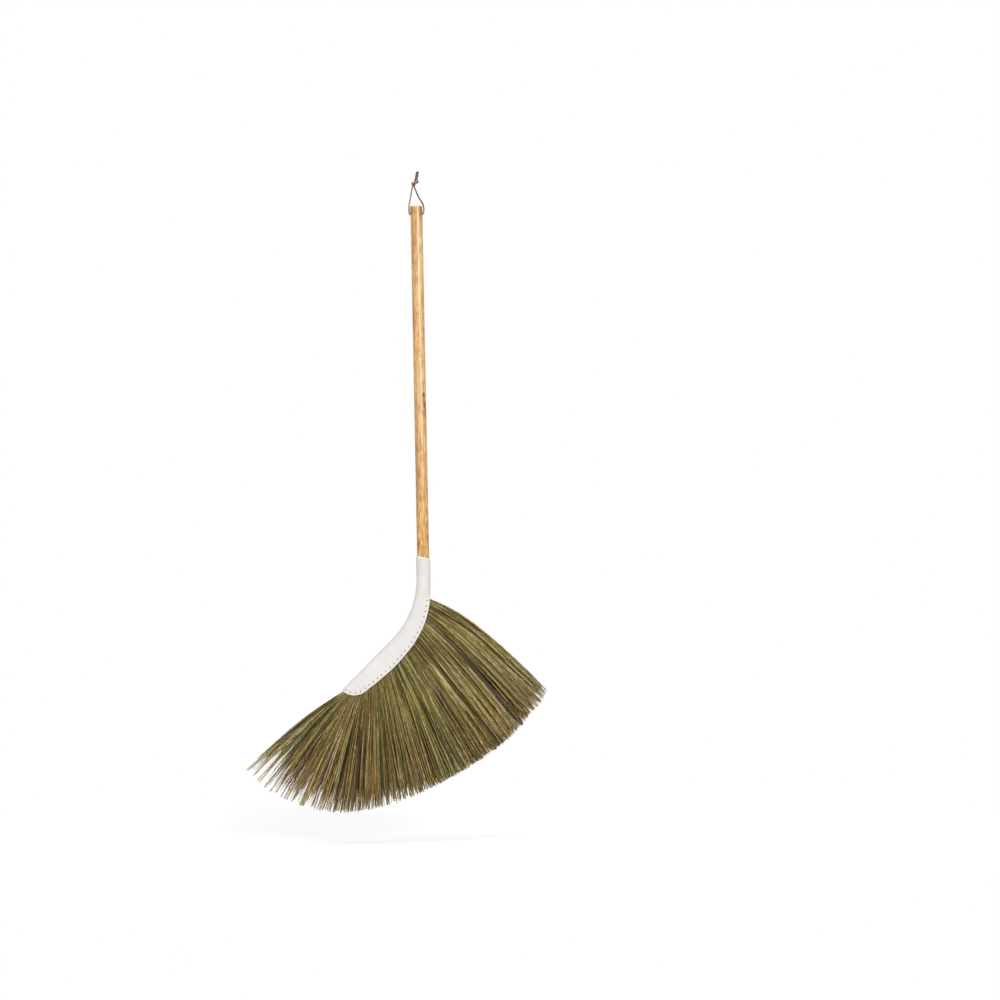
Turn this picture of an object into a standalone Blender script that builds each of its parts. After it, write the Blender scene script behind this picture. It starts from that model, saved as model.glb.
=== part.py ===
"""A hanging grass broom: a round wood handle, a folded leather sleeve and a fan of sewn grass bunches.

Metres, +Z up along the handle, +X towards the heel of the fan and -Y towards its front face. The origin
is where a hook bears in the leather loop, just under the knot. Broom pieces are drawn from the middle of
the handle's top face, and hang from an empty on the axis of the hole that the lace swings in.
"""

import math
import random

import bmesh
import bpy
import numpy as np
from mathutils import Matrix, Vector

for item in list(bpy.data.objects):
    bpy.data.objects.remove(item, do_unlink=True)

# Fits
GAP = 0.0003
OVERRUN = 0.0020

# Handle
HANDLE_DIAMETER = 0.0200
HANDLE_LENGTH = 0.5990
HANDLE_CHAMFER = 0.0007
HANDLE_SIDES = 32
TANG_DIAMETER = 0.0110
TANG_LENGTH = 0.0380
LACE_HOLE_DIAMETER = 0.0034
LACE_HOLE_DROP = 0.0135

# Leather lace and its knot
LACE_DIAMETER = 0.0023
LACE_STAND_OFF = 0.0005
LACE_BEND_RADIUS = 0.0018
LOOP_HEIGHT = 0.0327
LOOP_LEAN = 0.0047
LEG_BOW = 0.0012
LEG_SPREAD = 0.0014
LEFT_LEG_SHARE = 0.62
RIGHT_LEG_SHARE = 0.43
KNOT_WIDTH = 0.0106
KNOT_HEIGHT = 0.0080
KNOT_DEPTH = 0.0072
KNOT_RISE = 0.0055
KNOT_SHIFT = 0.0038
KNOT_TILT = math.radians(16)
KNOT_LUMP_SHARE = 0.80
KNOT_LOBE_SHARES = (0.62, 0.80, 0.60)
KNOT_LOBE_PLACE_SHARES = (0.15, 0.33)
KNOT_TURN_SHARE = 1.25
KNOT_NECK_SHARE = 0.22
TAIL_LENGTH = 0.0165
TAIL_TILT = math.radians(12)
TAIL_SPREAD = 0.0005
TAIL_SEAT = 0.0008

# Folded leather sleeve
LEATHER = 0.0012
SLEEVE_EASE = 0.0005
SLEEVE_LAP = 0.0203
MOUTH_SLANT = 0.0057
FOLD_STRAIGHT = 0.0355
FOLD_BEND_RADIUS = 0.1405
FOLD_BEND = math.radians(45.5)
FOLD_RUN = 0.1190
POCKET_WIDTH = 0.0349
POCKET_FOLD_RADIUS = 0.0090
POCKET_MOUTH_DEPTH = 0.0150
TOE_LENGTH = 0.0280
OPENING_START = 0.0450
OPENING_LENGTH = 0.0340
SWELL_SHARES = (
    (0.00, 0.00), (0.15, 0.00), (0.28, 0.30), (0.36, 0.51), (0.45, 0.69), (0.53, 0.84),
    (0.64, 1.00), (0.70, 0.98), (0.76, 0.87), (0.82, 0.74), (0.89, 0.52), (1.00, 0.40),
)
TOE_THIN_SHARES = ((0.00, 1.00), (0.70, 1.00), (0.88, 0.86), (1.00, 0.56))
TOE_LAST_TURN = math.radians(85)
WALL_STEPS = 7
OPENING_STEPS = 6
POCKET_STEPS = 11
TOE_STEPS = 6

# Saddle stitching along the open edge
STITCH_COUNT = 25
STITCH_LEAD = 0.0305
STITCH_END = 0.0030
STITCH_INSET = 0.0046
STITCH_HOLE_SIDES = 6
THREAD_DIAMETER = 0.0008
THREAD_CORNER_SHARE = 0.6
THREAD_SHIFT = 0.0007
THREAD_LIFT = 0.0005
STITCH_HOLE_LENGTH = 0.0031
STITCH_HOLE_WIDTH = 0.0015

# Gathered stems, their wire bindings and the nail
STEM_TOE_GAP = 0.0275
STEM_TOE_SHARE = 0.80
STEM_END_SHARE = 0.60
STEM_SIDES = 14
STEM_RINGS = 16
WIRE_DIAMETER = 0.0012
WIRE_PITCH = 0.0017
WIRE_TURNS = 3
WIRE_CLEARANCE = 0.0006
BINDING_DROP = 0.0025
BINDING_SPACE = 0.0014
NAIL_DIAMETER = 0.0020
NAIL_LENGTH = 0.0150
NAIL_DROP = 0.0190

# Grass bunches, one to each gap between stitches
SLICE_DEPTH = 0.0130
SLICE_EDGE_INSET = 0.0010
TOE_CLEARANCE = 0.0030
ROW_COUNTS = (4, 5, 4)
ROW_SHARE = 0.60
STRAND_THREAD_SPACE = 0.0005
STRAND_ROOT_RADIUS = 0.0007
STRAND_BELLY_RADIUS = 0.0016
STRAND_TIP_RADIUS = 0.0006
STRAND_BELLY_SHARE = 0.60
STRAND_PACK_SHARE = 0.42
STRAND_BEND_SHARE = 0.30
BENT_DROOP_SHARE = 5.0 / 180
FAN_DEPTH = 0.0440
DEPTH_JITTER_SHARE = 0.24
FAN_LENGTH = 0.2500
RAGGED_SHARE = 0.06
BEND_SHARE = 0.35
HEADING_SHARES = (
    (0.00, 38.2 / 180), (0.14, 47.9 / 180), (0.33, 55.7 / 180), (0.50, 67.0 / 180),
    (0.66, 80.5 / 180), (0.81, 97.0 / 180), (0.91, 117.0 / 180), (1.00, 140.5 / 180),
)
DROOP_SHARES = (
    (0.00, 17.0 / 180), (0.14, 7.0 / 180), (0.33, 3.0 / 180), (0.81, 0.0), (1.00, -10.0 / 180),
)
LENGTH_SHARES = (
    (0.00, 0.985), (0.14, 0.960), (0.33, 0.880), (0.50, 0.845),
    (0.81, 0.805), (0.92, 0.815), (1.00, 0.835),
)

TUBE_RADIUS = HANDLE_DIAMETER / 2 + SLEEVE_EASE + LEATHER
SLEEVE_DROP = HANDLE_LENGTH - SLEEVE_LAP
FOLD_LENGTH = FOLD_STRAIGHT + FOLD_BEND_RADIUS * FOLD_BEND + FOLD_RUN
STITCH_START = OPENING_START + STITCH_LEAD
STEM_START = SLEEVE_LAP + GAP
STEM_LENGTH = FOLD_LENGTH - STEM_TOE_GAP - STEM_START
STEM_RADIUS = TUBE_RADIUS - LEATHER - WIRE_CLEARANCE - WIRE_DIAMETER - GAP
STRAND_SINK = STITCH_INSET - SLICE_EDGE_INSET - THREAD_SHIFT - THREAD_DIAMETER / 2 - STRAND_THREAD_SPACE
LEG_X = HANDLE_DIAMETER / 2 + LACE_STAND_OFF + LACE_DIAMETER / 2


# Shared shapes

def smooth(table, x):
    """A smooth curve through the table's points that never overshoots them, read at x."""
    xs = [row[0] for row in table]
    ys = [row[1] for row in table]
    steps = [(b - a) / (d - c) for a, b, c, d in zip(ys, ys[1:], xs, xs[1:])]
    inner = [2 * a * b / (a + b) if a * b > 0 else 0 for a, b in zip(steps, steps[1:])]
    slopes = [steps[0], *inner, steps[-1]]
    i = min(max(int(np.searchsorted(xs, x)) - 1, 0), len(xs) - 2)
    span = xs[i + 1] - xs[i]
    u = min(max((x - xs[i]) / span, 0), 1)
    start = (1 + 2 * u) * (1 - u) ** 2 * ys[i] + u * (1 - u) ** 2 * span * slopes[i]
    end = u * u * (3 - 2 * u) * ys[i + 1] + u * u * (u - 1) * span * slopes[i + 1]
    return float(start + end)


def finish_material(name, colour, roughness, metallic=0.0):
    """A plain Principled finish."""
    material = bpy.data.materials.new(name)
    material.use_nodes = True
    shader = material.node_tree.nodes["Principled BSDF"]
    shader.inputs["Base Color"].default_value = (*colour, 1)
    shader.inputs["Roughness"].default_value = roughness
    shader.inputs["Metallic"].default_value = metallic
    material.diffuse_color = (*colour, 1)
    return material


def solid(name, points, faces, material, parent=None, smooth_angle=35):
    """One object from points and faces, its faces turned outwards."""
    mesh = bpy.data.meshes.new(name)
    mesh.from_pydata([tuple(p) for p in points], [], faces)
    shape = bmesh.new()
    shape.from_mesh(mesh)
    bmesh.ops.recalc_face_normals(shape, faces=shape.faces)
    shape.to_mesh(mesh)
    shape.free()
    mesh.shade_smooth()
    mesh.set_sharp_from_angle(angle=math.radians(smooth_angle))
    piece = bpy.data.objects.new(name, mesh)
    bpy.context.scene.collection.objects.link(piece)
    if material:
        mesh.materials.append(material)
    if parent:
        piece.parent = parent
        piece.location = (0, 0, LACE_HOLE_DROP)
    return piece


def ring_faces(rings, closed_ends=True):
    """Side quads between rings of as many points each, with a face on each end."""
    count = len(rings[0])
    faces = []
    for i in range(len(rings) - 1):
        for j in range(count):
            k = (j + 1) % count
            faces.append((i * count + j, i * count + k, (i + 1) * count + k, (i + 1) * count + j))
    if closed_ends:
        last = (len(rings) - 1) * count
        faces.append(tuple(reversed(range(count))))
        faces.append(tuple(last + j for j in range(count)))
    return faces


def turned(name, profile, sides, material, parent=None):
    """A round solid about Z, from a profile of (radius, z) pairs."""
    rings = []
    for radius, z in profile:
        turns = [2 * math.pi * j / sides for j in range(sides)]
        rings.append([(radius * math.cos(a), radius * math.sin(a), z) for a in turns])
    points = [p for ring in rings for p in ring]
    return solid(name, points, ring_faces(rings), material, parent)


def cut(piece, cutter, operation="DIFFERENCE"):
    """Applies the cutter to the piece with an exact Boolean."""
    cutter.hide_render = True
    cutter.display_type = "WIRE"
    modifier = piece.modifiers.new(operation.lower(), "BOOLEAN")
    modifier.operation = operation
    modifier.solver = "EXACT"
    modifier.object = cutter


def cylinder(name, diameter, length, middle, axis, sides, parent=None):
    """A plain cylinder, centred at middle along axis."""
    turn = Vector((0, 0, 1)).rotation_difference(Vector(axis)).to_matrix()
    points = []
    for end in (-0.5, 0.5):
        for j in range(sides):
            a = 2 * math.pi * (j + 0.5) / sides
            spoke = Vector((math.cos(a) * diameter / 2, math.sin(a) * diameter / 2, end * length))
            points.append(turn @ spoke + Vector(middle))
    return solid(name, points, ring_faces([points[:sides], points[sides:]]), None, parent)


def tube(name, points, diameter, material, parent=None, resolution=2):
    """A round tube on a poly curve, with closed ends."""
    curve = bpy.data.curves.new(name, "CURVE")
    curve.dimensions = "3D"
    curve.bevel_depth = diameter / 2
    curve.bevel_resolution = resolution
    curve.use_fill_caps = True
    spline = curve.splines.new("POLY")
    spline.points.add(len(points) - 1)
    for place, point in zip(spline.points, points):
        place.co = (*point, 1)
    curve.materials.append(material)
    piece = bpy.data.objects.new(name, curve)
    bpy.context.scene.collection.objects.link(piece)
    if parent:
        piece.parent = parent
        piece.location = (0, 0, LACE_HOLE_DROP)
    return piece


# Hanging lace: two legs and the run through the handle, then the knot and its two tails

def smooth_route(route, steps):
    """A curve through the route's points, with as many steps to each stretch as steps says."""
    spans = [math.sqrt((b - a).length) for a, b in zip(route, route[1:])]
    slopes = [(b - a) / span for a, b, span in zip(route, route[1:], spans)]
    tangents = [slopes[0]]
    for i in range(1, len(spans)):
        tangents.append((slopes[i - 1] * spans[i] + slopes[i] * spans[i - 1]) / (spans[i - 1] + spans[i]))
    tangents.append(slopes[-1])
    found = []
    for i, count in enumerate(steps):
        for k in range(count):
            u = k / count
            start = route[i] * (1 + 2 * u) * (1 - u) ** 2 + tangents[i] * u * (1 - u) ** 2 * spans[i]
            end = route[i + 1] * u * u * (3 - 2 * u) + tangents[i + 1] * u * u * (u - 1) * spans[i]
            found.append(start + end)
    return [*found, route[-1]]


def lace_route():
    """From the knot down the left leg, through the handle and up the right leg."""
    top = -LOOP_HEIGHT
    hole = top - LACE_HOLE_DROP
    bend = LACE_BEND_RADIUS
    left = LOOP_LEAN - LEG_X
    right = LOOP_LEAN + LEG_X
    low = hole + bend
    slack = bend * (1 - math.sqrt(0.5))
    places = (
        (-LEG_SPREAD / 2 - GAP, 0),
        (left * LEFT_LEG_SHARE, top / 2),
        (left - LEG_BOW / 3, top),
        (left, low),
        (left + slack, hole + slack),
        (left + bend, hole),
        (LOOP_LEAN, hole),
        (right - bend, hole),
        (right - slack, hole + slack),
        (right, low),
        (right + LEG_BOW / 3, top),
        (right * RIGHT_LEG_SHARE + LEG_BOW, top / 2),
        (LEG_SPREAD + GAP, 0),
    )
    return [Vector((x, 0, z)) for x, z in places]


def make_lace(leather):
    """The loop, as one lace whose ends go up into the knot."""
    steps = (3, 3, 1, 2, 2, 1, 1, 2, 2, 1, 3, 3)
    return tube("hanging_lace", smooth_route(lace_route(), steps), LACE_DIAMETER, leather)


def tail_axis():
    """The lean of the lace's two ends above the knot."""
    return Vector((math.sin(TAIL_TILT), 0, math.cos(TAIL_TILT)))


def ellipsoid(name, size, middle, tilt, material, sides=14, rings=8):
    """A closed egg shape, turned about Y."""
    turn = Matrix.Rotation(-tilt, 3, "Y")
    shape = bmesh.new()
    bmesh.ops.create_uvsphere(shape, u_segments=sides, v_segments=rings, radius=0.5)
    points = [turn @ Vector((v.co.x * size[0], v.co.y * size[1], v.co.z * size[2])) for v in shape.verts]
    faces = [[v.index for v in f.verts] for f in shape.faces]
    shape.free()
    return solid(name, [p + Vector(middle) for p in points], faces, material)


def band(name, radius, thickness, middle, axis, sides, around):
    """A closed ring about the axis, such as a turn of lace."""
    turn = Vector((0, 0, 1)).rotation_difference(Vector(axis)).to_matrix()
    rings = []
    for i in range(sides):
        a = 2 * math.pi * i / sides
        ring = []
        for j in range(around):
            b = 2 * math.pi * j / around
            reach = radius + thickness / 2 * math.cos(b)
            point = Vector((reach * math.cos(a), reach * math.sin(a), thickness / 2 * math.sin(b)))
            ring.append(turn @ point + Vector(middle))
        rings.append(ring)
    faces = ring_faces([*rings, rings[0]], closed_ends=False)
    total = sides * around
    faces = [tuple(k % total for k in face) for face in faces]
    return solid(name, [p for ring in rings for p in ring], faces, None)


def make_knot(leather):
    """An overhand knot in the doubled lace: a lump with one turn of lace round its neck."""
    middle = Vector((KNOT_SHIFT, 0, KNOT_RISE))
    lump_size = (KNOT_WIDTH, KNOT_DEPTH, KNOT_HEIGHT * KNOT_LUMP_SHARE)
    knot = ellipsoid("lace_knot", lump_size, middle, KNOT_TILT, leather)
    wide, deep, high = KNOT_LOBE_SHARES
    along, up = KNOT_LOBE_PLACE_SHARES
    lobe_size = (KNOT_WIDTH * wide, KNOT_DEPTH * deep, KNOT_HEIGHT * high)
    chin = (KNOT_SHIFT * along, 0, KNOT_HEIGHT * up)
    lobe = ellipsoid("knot_lobe", lobe_size, chin, 0, None, sides=10, rings=6)
    axis = tail_axis()
    neck = middle + axis * (KNOT_HEIGHT * KNOT_NECK_SHARE)
    turn = band("knot_turn", LACE_DIAMETER * KNOT_TURN_SHARE, LACE_DIAMETER, neck, axis, 14, 6)
    cut(knot, lobe, "UNION")
    cut(knot, turn, "UNION")
    return knot


def make_tails(leather):
    """The lace's two cut ends, side by side above the knot."""
    axis = tail_axis()
    side = Vector((axis.z, 0, -axis.x))
    seat = Vector((KNOT_SHIFT, 0, KNOT_RISE)) + axis * (KNOT_HEIGHT * KNOT_LUMP_SHARE / 2 + TAIL_SEAT)
    made = []
    for name, sign in (("lace_tail_left", -1), ("lace_tail_right", 1)):
        offset = side * sign * (LACE_DIAMETER + GAP) / 2
        tip = side * sign * TAIL_SPREAD
        points = [
            seat + offset + axis * TAIL_LENGTH * share + tip * share ** 2
            for share in (0.0, 0.25, 0.5, 0.75, 1.0)
        ]
        made.append(tube(name, points, LACE_DIAMETER, leather))
    return made


# Handle: a turned pole with the lace's cross hole, and a thinner tang inside the stems

def make_handle(wood, pivot):
    """The pole on its axis, with the lace's hole and the nail's."""
    radius = HANDLE_DIAMETER / 2
    tang = TANG_DIAMETER / 2
    end = -HANDLE_LENGTH - TANG_LENGTH
    profile = (
        (radius - HANDLE_CHAMFER, 0),
        (radius, -HANDLE_CHAMFER),
        (radius, -HANDLE_LENGTH),
        (tang, -HANDLE_LENGTH),
        (tang, end + HANDLE_CHAMFER),
        (tang - HANDLE_CHAMFER, end),
    )
    handle = turned("handle", profile, HANDLE_SIDES, wood, pivot)
    reach = HANDLE_DIAMETER + 2 * OVERRUN
    hole = cylinder(
        "lace_hole_cutter", LACE_HOLE_DIAMETER, reach, (0, 0, -LACE_HOLE_DROP), (1, 0, 0), 12, pivot
    )
    cut(handle, hole)
    cut(handle, nail_cutter("nail_hole_in_tang", pivot))
    return handle


def nail_middle():
    return (0, 0, -HANDLE_LENGTH - NAIL_DROP)


def nail_cutter(name, pivot):
    reach = HANDLE_DIAMETER + 2 * OVERRUN
    return cylinder(name, NAIL_DIAMETER + 2 * GAP, reach, nail_middle(), (0, 1, 0), 10, pivot)


def make_nail(steel, pivot):
    nail = cylinder("handle_nail", NAIL_DIAMETER, NAIL_LENGTH, nail_middle(), (0, 1, 0), 10, pivot)
    nail.data.materials.append(steel)
    return nail


# The sleeve's side outline: the fold is the inner edge, and the open edge lies a width away from it

def fold_at(length):
    """The point on the fold at this length from the mouth, and its heading."""
    x, z = -TUBE_RADIUS, -SLEEVE_DROP
    straight = min(length, FOLD_STRAIGHT)
    z -= straight
    turn = min(max(length - FOLD_STRAIGHT, 0) / FOLD_BEND_RADIUS, FOLD_BEND)
    x -= FOLD_BEND_RADIUS * (1 - math.cos(turn))
    z -= FOLD_BEND_RADIUS * math.sin(turn)
    run = max(length - FOLD_STRAIGHT - FOLD_BEND_RADIUS * FOLD_BEND, 0)
    heading = Vector((-math.sin(turn), 0, -math.cos(turn)))
    return Vector((x, 0, z)) + heading * run, heading


def outward(heading):
    """Square to the heading, towards the open edge."""
    return Vector((-heading.z, 0, heading.x))


def sleeve_width(length):
    """From the fold to the open edge, with the toe rounded like an ellipse."""
    swell = smooth(SWELL_SHARES, length / FOLD_LENGTH)
    width = 2 * TUBE_RADIUS + (POCKET_WIDTH - 2 * TUBE_RADIUS) * swell
    toe = max(length - (FOLD_LENGTH - TOE_LENGTH), 0) / TOE_LENGTH
    return width * math.sqrt(max(1 - toe * toe, 0))


def opening(length):
    """0 where the sleeve is a closed tube, 1 where it is an open pocket."""
    share = min(max((length - OPENING_START) / OPENING_LENGTH, 0), 1)
    return share * share * (3 - 2 * share)


def fold_radius(length):
    """Half the sleeve's depth at its fold."""
    pocket = POCKET_FOLD_RADIUS * smooth(TOE_THIN_SHARES, length / FOLD_LENGTH)
    return TUBE_RADIUS + (pocket - TUBE_RADIUS) * opening(length)


def wall_point(length, share):
    """A point of the sleeve's outer side: its distance from the fold and half the depth there."""
    width = sleeve_width(length)
    turn = math.pi * share
    tube_point = (width / 2 * (1 - math.cos(turn)), width / 2 * math.sin(turn))
    radius = POCKET_FOLD_RADIUS * smooth(TOE_THIN_SHARES, length / FOLD_LENGTH)
    mouth = radius * POCKET_MOUTH_DEPTH / (2 * POCKET_FOLD_RADIUS)
    across = width * (1 - math.cos(turn / 2))
    if across < radius:
        depth = math.sqrt(radius ** 2 - (radius - across) ** 2)
    else:
        depth = radius - (radius - mouth) * (across - radius) / (POCKET_WIDTH - radius)
    open_share = opening(length)
    reach = tube_point[0] + (across - tube_point[0]) * open_share
    half = tube_point[1] + (depth - tube_point[1]) * open_share
    return reach, max(half, GAP) if share > 0 else 0.0


def half_depth(length, across):
    """Half the sleeve's outer depth, at this distance from the fold."""
    low, high = 0.0, 1.0
    for _ in range(24):
        middle = (low + high) / 2
        if wall_point(length, middle)[0] < across:
            low = middle
        else:
            high = middle
    return wall_point(length, low)[1]


def fold_place(point):
    """Where a point lies: its length along the fold and its distance from it."""
    low, high = 0.0, FOLD_LENGTH
    for _ in range(40):
        middle = (low + high) / 2
        place, heading = fold_at(middle)
        if (point - place).dot(heading) > 0:
            low = middle
        else:
            high = middle
    place, heading = fold_at(low)
    return low, (point - place).dot(outward(heading))


FINE = [FOLD_LENGTH * (1 - (1 - i / 400) ** 2) for i in range(401)]
EDGE_POINTS = [fold_at(s)[0] + outward(fold_at(s)[1]) * sleeve_width(s) for s in FINE]
EDGE_LENGTHS = [0.0]
for before, after in zip(EDGE_POINTS, EDGE_POINTS[1:]):
    EDGE_LENGTHS.append(EDGE_LENGTHS[-1] + (after - before).length)


def edge_at(length):
    """The point on the open edge at this length along it, and the direction out of the sleeve."""
    step = EDGE_LENGTHS[-1] / 400
    around = []
    for s in (length - step, length, length + step):
        x = np.interp(s, EDGE_LENGTHS, [p.x for p in EDGE_POINTS])
        z = np.interp(s, EDGE_LENGTHS, [p.z for p in EDGE_POINTS])
        around.append(Vector((x, 0, z)))
    return around[1], outward((around[2] - around[0]).normalized())


def stitch_length(share):
    """The length along the open edge at a share of the sewn stretch."""
    return STITCH_START + (EDGE_LENGTHS[-1] - STITCH_END - STITCH_START) * share


def direction(degrees_share):
    """A direction in the fan's plane, as a share of the half turn below +X."""
    angle = math.pi * degrees_share
    return Vector((math.cos(angle), 0, -math.sin(angle)))


def root_direction(share):
    return direction(smooth(HEADING_SHARES, share) - smooth(DROOP_SHARES, share))


def stitch_place(share):
    """The middle of a stitch hole: the line of the grass, a stitch inset inside the open edge."""
    point, out = edge_at(stitch_length(share))
    line = root_direction(share)
    return point - line * (STITCH_INSET / line.dot(out))


STITCH_SHARES = [i / (STITCH_COUNT - 1) for i in range(STITCH_COUNT)]


def sleeve_stations():
    """Lengths along the fold where the sleeve has a ring, closer together where its shape changes."""
    opened = OPENING_START + OPENING_LENGTH
    toe_start = FOLD_LENGTH - TOE_LENGTH
    stations = [0, FOLD_STRAIGHT]
    stations += [OPENING_START + OPENING_LENGTH * i / OPENING_STEPS for i in range(OPENING_STEPS)]
    stations += [opened + (toe_start - opened) * i / POCKET_STEPS for i in range(POCKET_STEPS)]
    turns = [TOE_LAST_TURN * i / TOE_STEPS for i in range(TOE_STEPS + 1)]
    return stations + [toe_start + TOE_LENGTH * math.sin(a) for a in turns]


def sleeve_ring(length, slant):
    """One cut through the folded sheet: front edge, round the fold, back edge, and back inside."""
    place, heading = fold_at(length)
    out = outward(heading)
    half = [wall_point(length, i / WALL_STEPS) for i in range(WALL_STEPS + 1)]
    outer = [Vector((reach, -depth)) for reach, depth in reversed(half)]
    outer += [Vector((reach, depth)) for reach, depth in half[1:]]
    inner = []
    for i, point in enumerate(outer):
        along = outer[min(i + 1, len(outer) - 1)] - outer[max(i - 1, 0)]
        along.normalize()
        inward = Vector((-along.y, along.x)) * -1
        moved = point + inward * LEATHER
        if i < WALL_STEPS:
            moved.y = min(moved.y, -GAP)
        if i > WALL_STEPS:
            moved.y = max(moved.y, GAP)
        inner.append(moved)
    width = sleeve_width(length)
    ring = []
    for reach, depth in outer + inner[::-1]:
        drop = Vector((0, 0, -slant * reach / width))
        ring.append(place + out * reach + drop + Vector((0, depth, 0)))
    return ring


def make_sleeve(leather, pivot):
    """The folded sheet with its row of stitch holes."""
    rings = [sleeve_ring(s, MOUTH_SLANT if i == 0 else 0) for i, s in enumerate(sleeve_stations())]
    count = len(rings[0])
    half = count // 2
    faces = ring_faces(rings, closed_ends=False)
    last = (len(rings) - 1) * count
    for j in range(half - 1):
        strip = (j, j + 1, count - 2 - j, count - 1 - j)
        faces.append(strip[::-1])
        faces.append(tuple(last + k for k in strip))
    sleeve = solid("sleeve", [p for ring in rings for p in ring], faces, leather, pivot, 50)
    cut(sleeve, stitch_cutters(pivot))
    return sleeve


def stitch_cutters(pivot):
    """Slots along the grass, right through both walls, as one object."""
    reach = TUBE_RADIUS + OVERRUN
    points, faces = [], []
    for share in STITCH_SHARES:
        middle = stitch_place(share)
        line = root_direction(share)
        side = outward(line)
        first = len(points)
        rings = []
        for y in (-reach, reach):
            ring = []
            for j in range(STITCH_HOLE_SIDES):
                a = 2 * math.pi * j / STITCH_HOLE_SIDES
                long = line * (math.cos(a) * STITCH_HOLE_LENGTH / 2)
                wide = side * (math.sin(a) * STITCH_HOLE_WIDTH / 2 / math.cos(math.pi / STITCH_HOLE_SIDES))
                ring.append(middle + long + wide + Vector((0, y, 0)))
            rings.append(ring)
            points += ring
        faces += [tuple(first + k for k in face) for face in ring_faces(rings)]
    return solid("stitch_hole_cutter", points, faces, None, pivot)


# Saddle stitch: two threads, each on the front in one gap and on the back in the next

def make_thread(name, shift, first_side, material, pivot):
    """One thread's run through every hole, over one wall and then the other."""
    corner = THREAD_DIAMETER * THREAD_CORNER_SHARE
    points = []
    side = first_side
    places = [stitch_place(share) + root_direction(share) * shift for share in STITCH_SHARES]
    lifts = [half_depth(*fold_place(place)) + THREAD_LIFT + THREAD_DIAMETER / 2 for place in places]
    for i, (place, lift) in enumerate(zip(places, lifts)):
        along = (places[min(i + 1, len(places) - 1)] - places[max(i - 1, 0)]).normalized() * corner
        if i == 0:
            points.append(place)
        else:
            points.append(place - along + Vector((0, side * lift, 0)))
            points.append(place + Vector((0, side * (lift - corner), 0)))
            side = -side
        if i == len(places) - 1:
            points.append(place)
        else:
            points.append(place + Vector((0, side * (lift - corner), 0)))
            points.append(place + along + Vector((0, side * lift, 0)))
    return tube(name, points, THREAD_DIAMETER, material, pivot, resolution=0)


# Stems gathered along the fold, round the handle's tang, with two wire bindings

def stem_radius(length):
    """The bundle fills the fold, thins towards the toe and is never thicker than at the handle."""
    room = fold_radius(length) - LEATHER - GAP
    share = (length - STEM_START) / STEM_LENGTH
    thin = 1 - (1 - STEM_TOE_SHARE) * share * share
    return min(STEM_RADIUS, room) * thin


def make_stems(straw, pivot):
    """The bundle, bored for the handle's tang and its nail."""
    rings = []
    for i in range(STEM_RINGS + 1):
        length = STEM_START + STEM_LENGTH * i / STEM_RINGS
        place, heading = fold_at(length)
        out = outward(heading)
        radius = stem_radius(length)
        if i == STEM_RINGS:
            radius *= STEM_END_SHARE
        middle = place + out * fold_radius(length)
        ring = []
        for j in range(STEM_SIDES):
            a = 2 * math.pi * (j + 0.5) / STEM_SIDES
            ring.append(middle + out * (radius * math.cos(a)) + Vector((0, radius * math.sin(a), 0)))
        rings.append(ring)
    stems = solid("stem_core", [p for ring in rings for p in ring], ring_faces(rings), straw, pivot)
    bore = TANG_DIAMETER + 2 * GAP
    depth = TANG_LENGTH + GAP + OVERRUN
    middle = (0, 0, -HANDLE_LENGTH + OVERRUN - depth / 2)
    cut(stems, cylinder("tang_bore_cutter", bore, depth, middle, (0, 0, 1), HANDLE_SIDES // 2, pivot))
    cut(stems, nail_cutter("nail_hole_in_stems", pivot))
    return stems


def make_binding(name, place, steel, pivot):
    """Turns of wire pulled round the stems, in the sleeve's straight: place 0 is the upper binding."""
    radius = STEM_RADIUS + GAP + WIRE_DIAMETER / 2
    height = WIRE_TURNS * WIRE_PITCH + WIRE_DIAMETER + BINDING_SPACE
    top = -HANDLE_LENGTH - GAP - BINDING_DROP - height * place
    points = []
    for i in range(WIRE_TURNS * STEM_SIDES + 1):
        a = 2 * math.pi * (i + 0.5) / STEM_SIDES
        z = top - WIRE_PITCH * i / STEM_SIDES
        points.append(Vector((radius * math.cos(a), radius * math.sin(a), z)))
    print(name, "least gap between turns", round((WIRE_PITCH - WIRE_DIAMETER) * 1000, 3), "mm")
    return tube(name, points, WIRE_DIAMETER, steel, pivot, resolution=1)


# Grass bunches: a slice of sewn stems between two stitches, with its strands

def slice_side(share, turn):
    """One side of a slice, from the open edge inwards, kept clear of the thread at its outer end."""
    point, out = edge_at(stitch_length(share))
    line = root_direction(share)
    side = outward(line) * turn
    start = point - line * (SLICE_EDGE_INSET / line.dot(out))
    hole = (stitch_place(share) - start).length
    shoulder = hole + STITCH_HOLE_LENGTH / 2
    wide = THREAD_DIAMETER / 2 + GAP
    depth = shoulder
    for i in range(1, 41):
        tried = shoulder + (SLICE_DEPTH - shoulder) * i / 40
        length, across = fold_place(start - line * tried)
        keep = TOE_CLEARANCE
        if length < STEM_START + STEM_LENGTH + GAP:
            keep = fold_radius(length) + stem_radius(length) + 2 * GAP
        if across < keep:
            break
        depth = tried
    points = [start + side * wide, start - line * shoulder + side * wide]
    if depth > shoulder + GAP:
        points += [start - line * shoulder + side * (GAP / 2), start - line * depth + side * (GAP / 2)]
    return points


def slice_outline(first, second):
    """The slice's corners in the fan's plane: down one side and back up the other."""
    near = slice_side(first, -1)
    far = slice_side(second, 1)
    return near + far[::-1]


def slice_half_depth(outline):
    """Half the slice's thickness: what the sleeve's walls leave at its tightest corner."""
    room = []
    for point in outline:
        length, across = fold_place(point)
        room.append(half_depth(length, across))
    return min(room) - LEATHER - 2 * GAP


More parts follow.
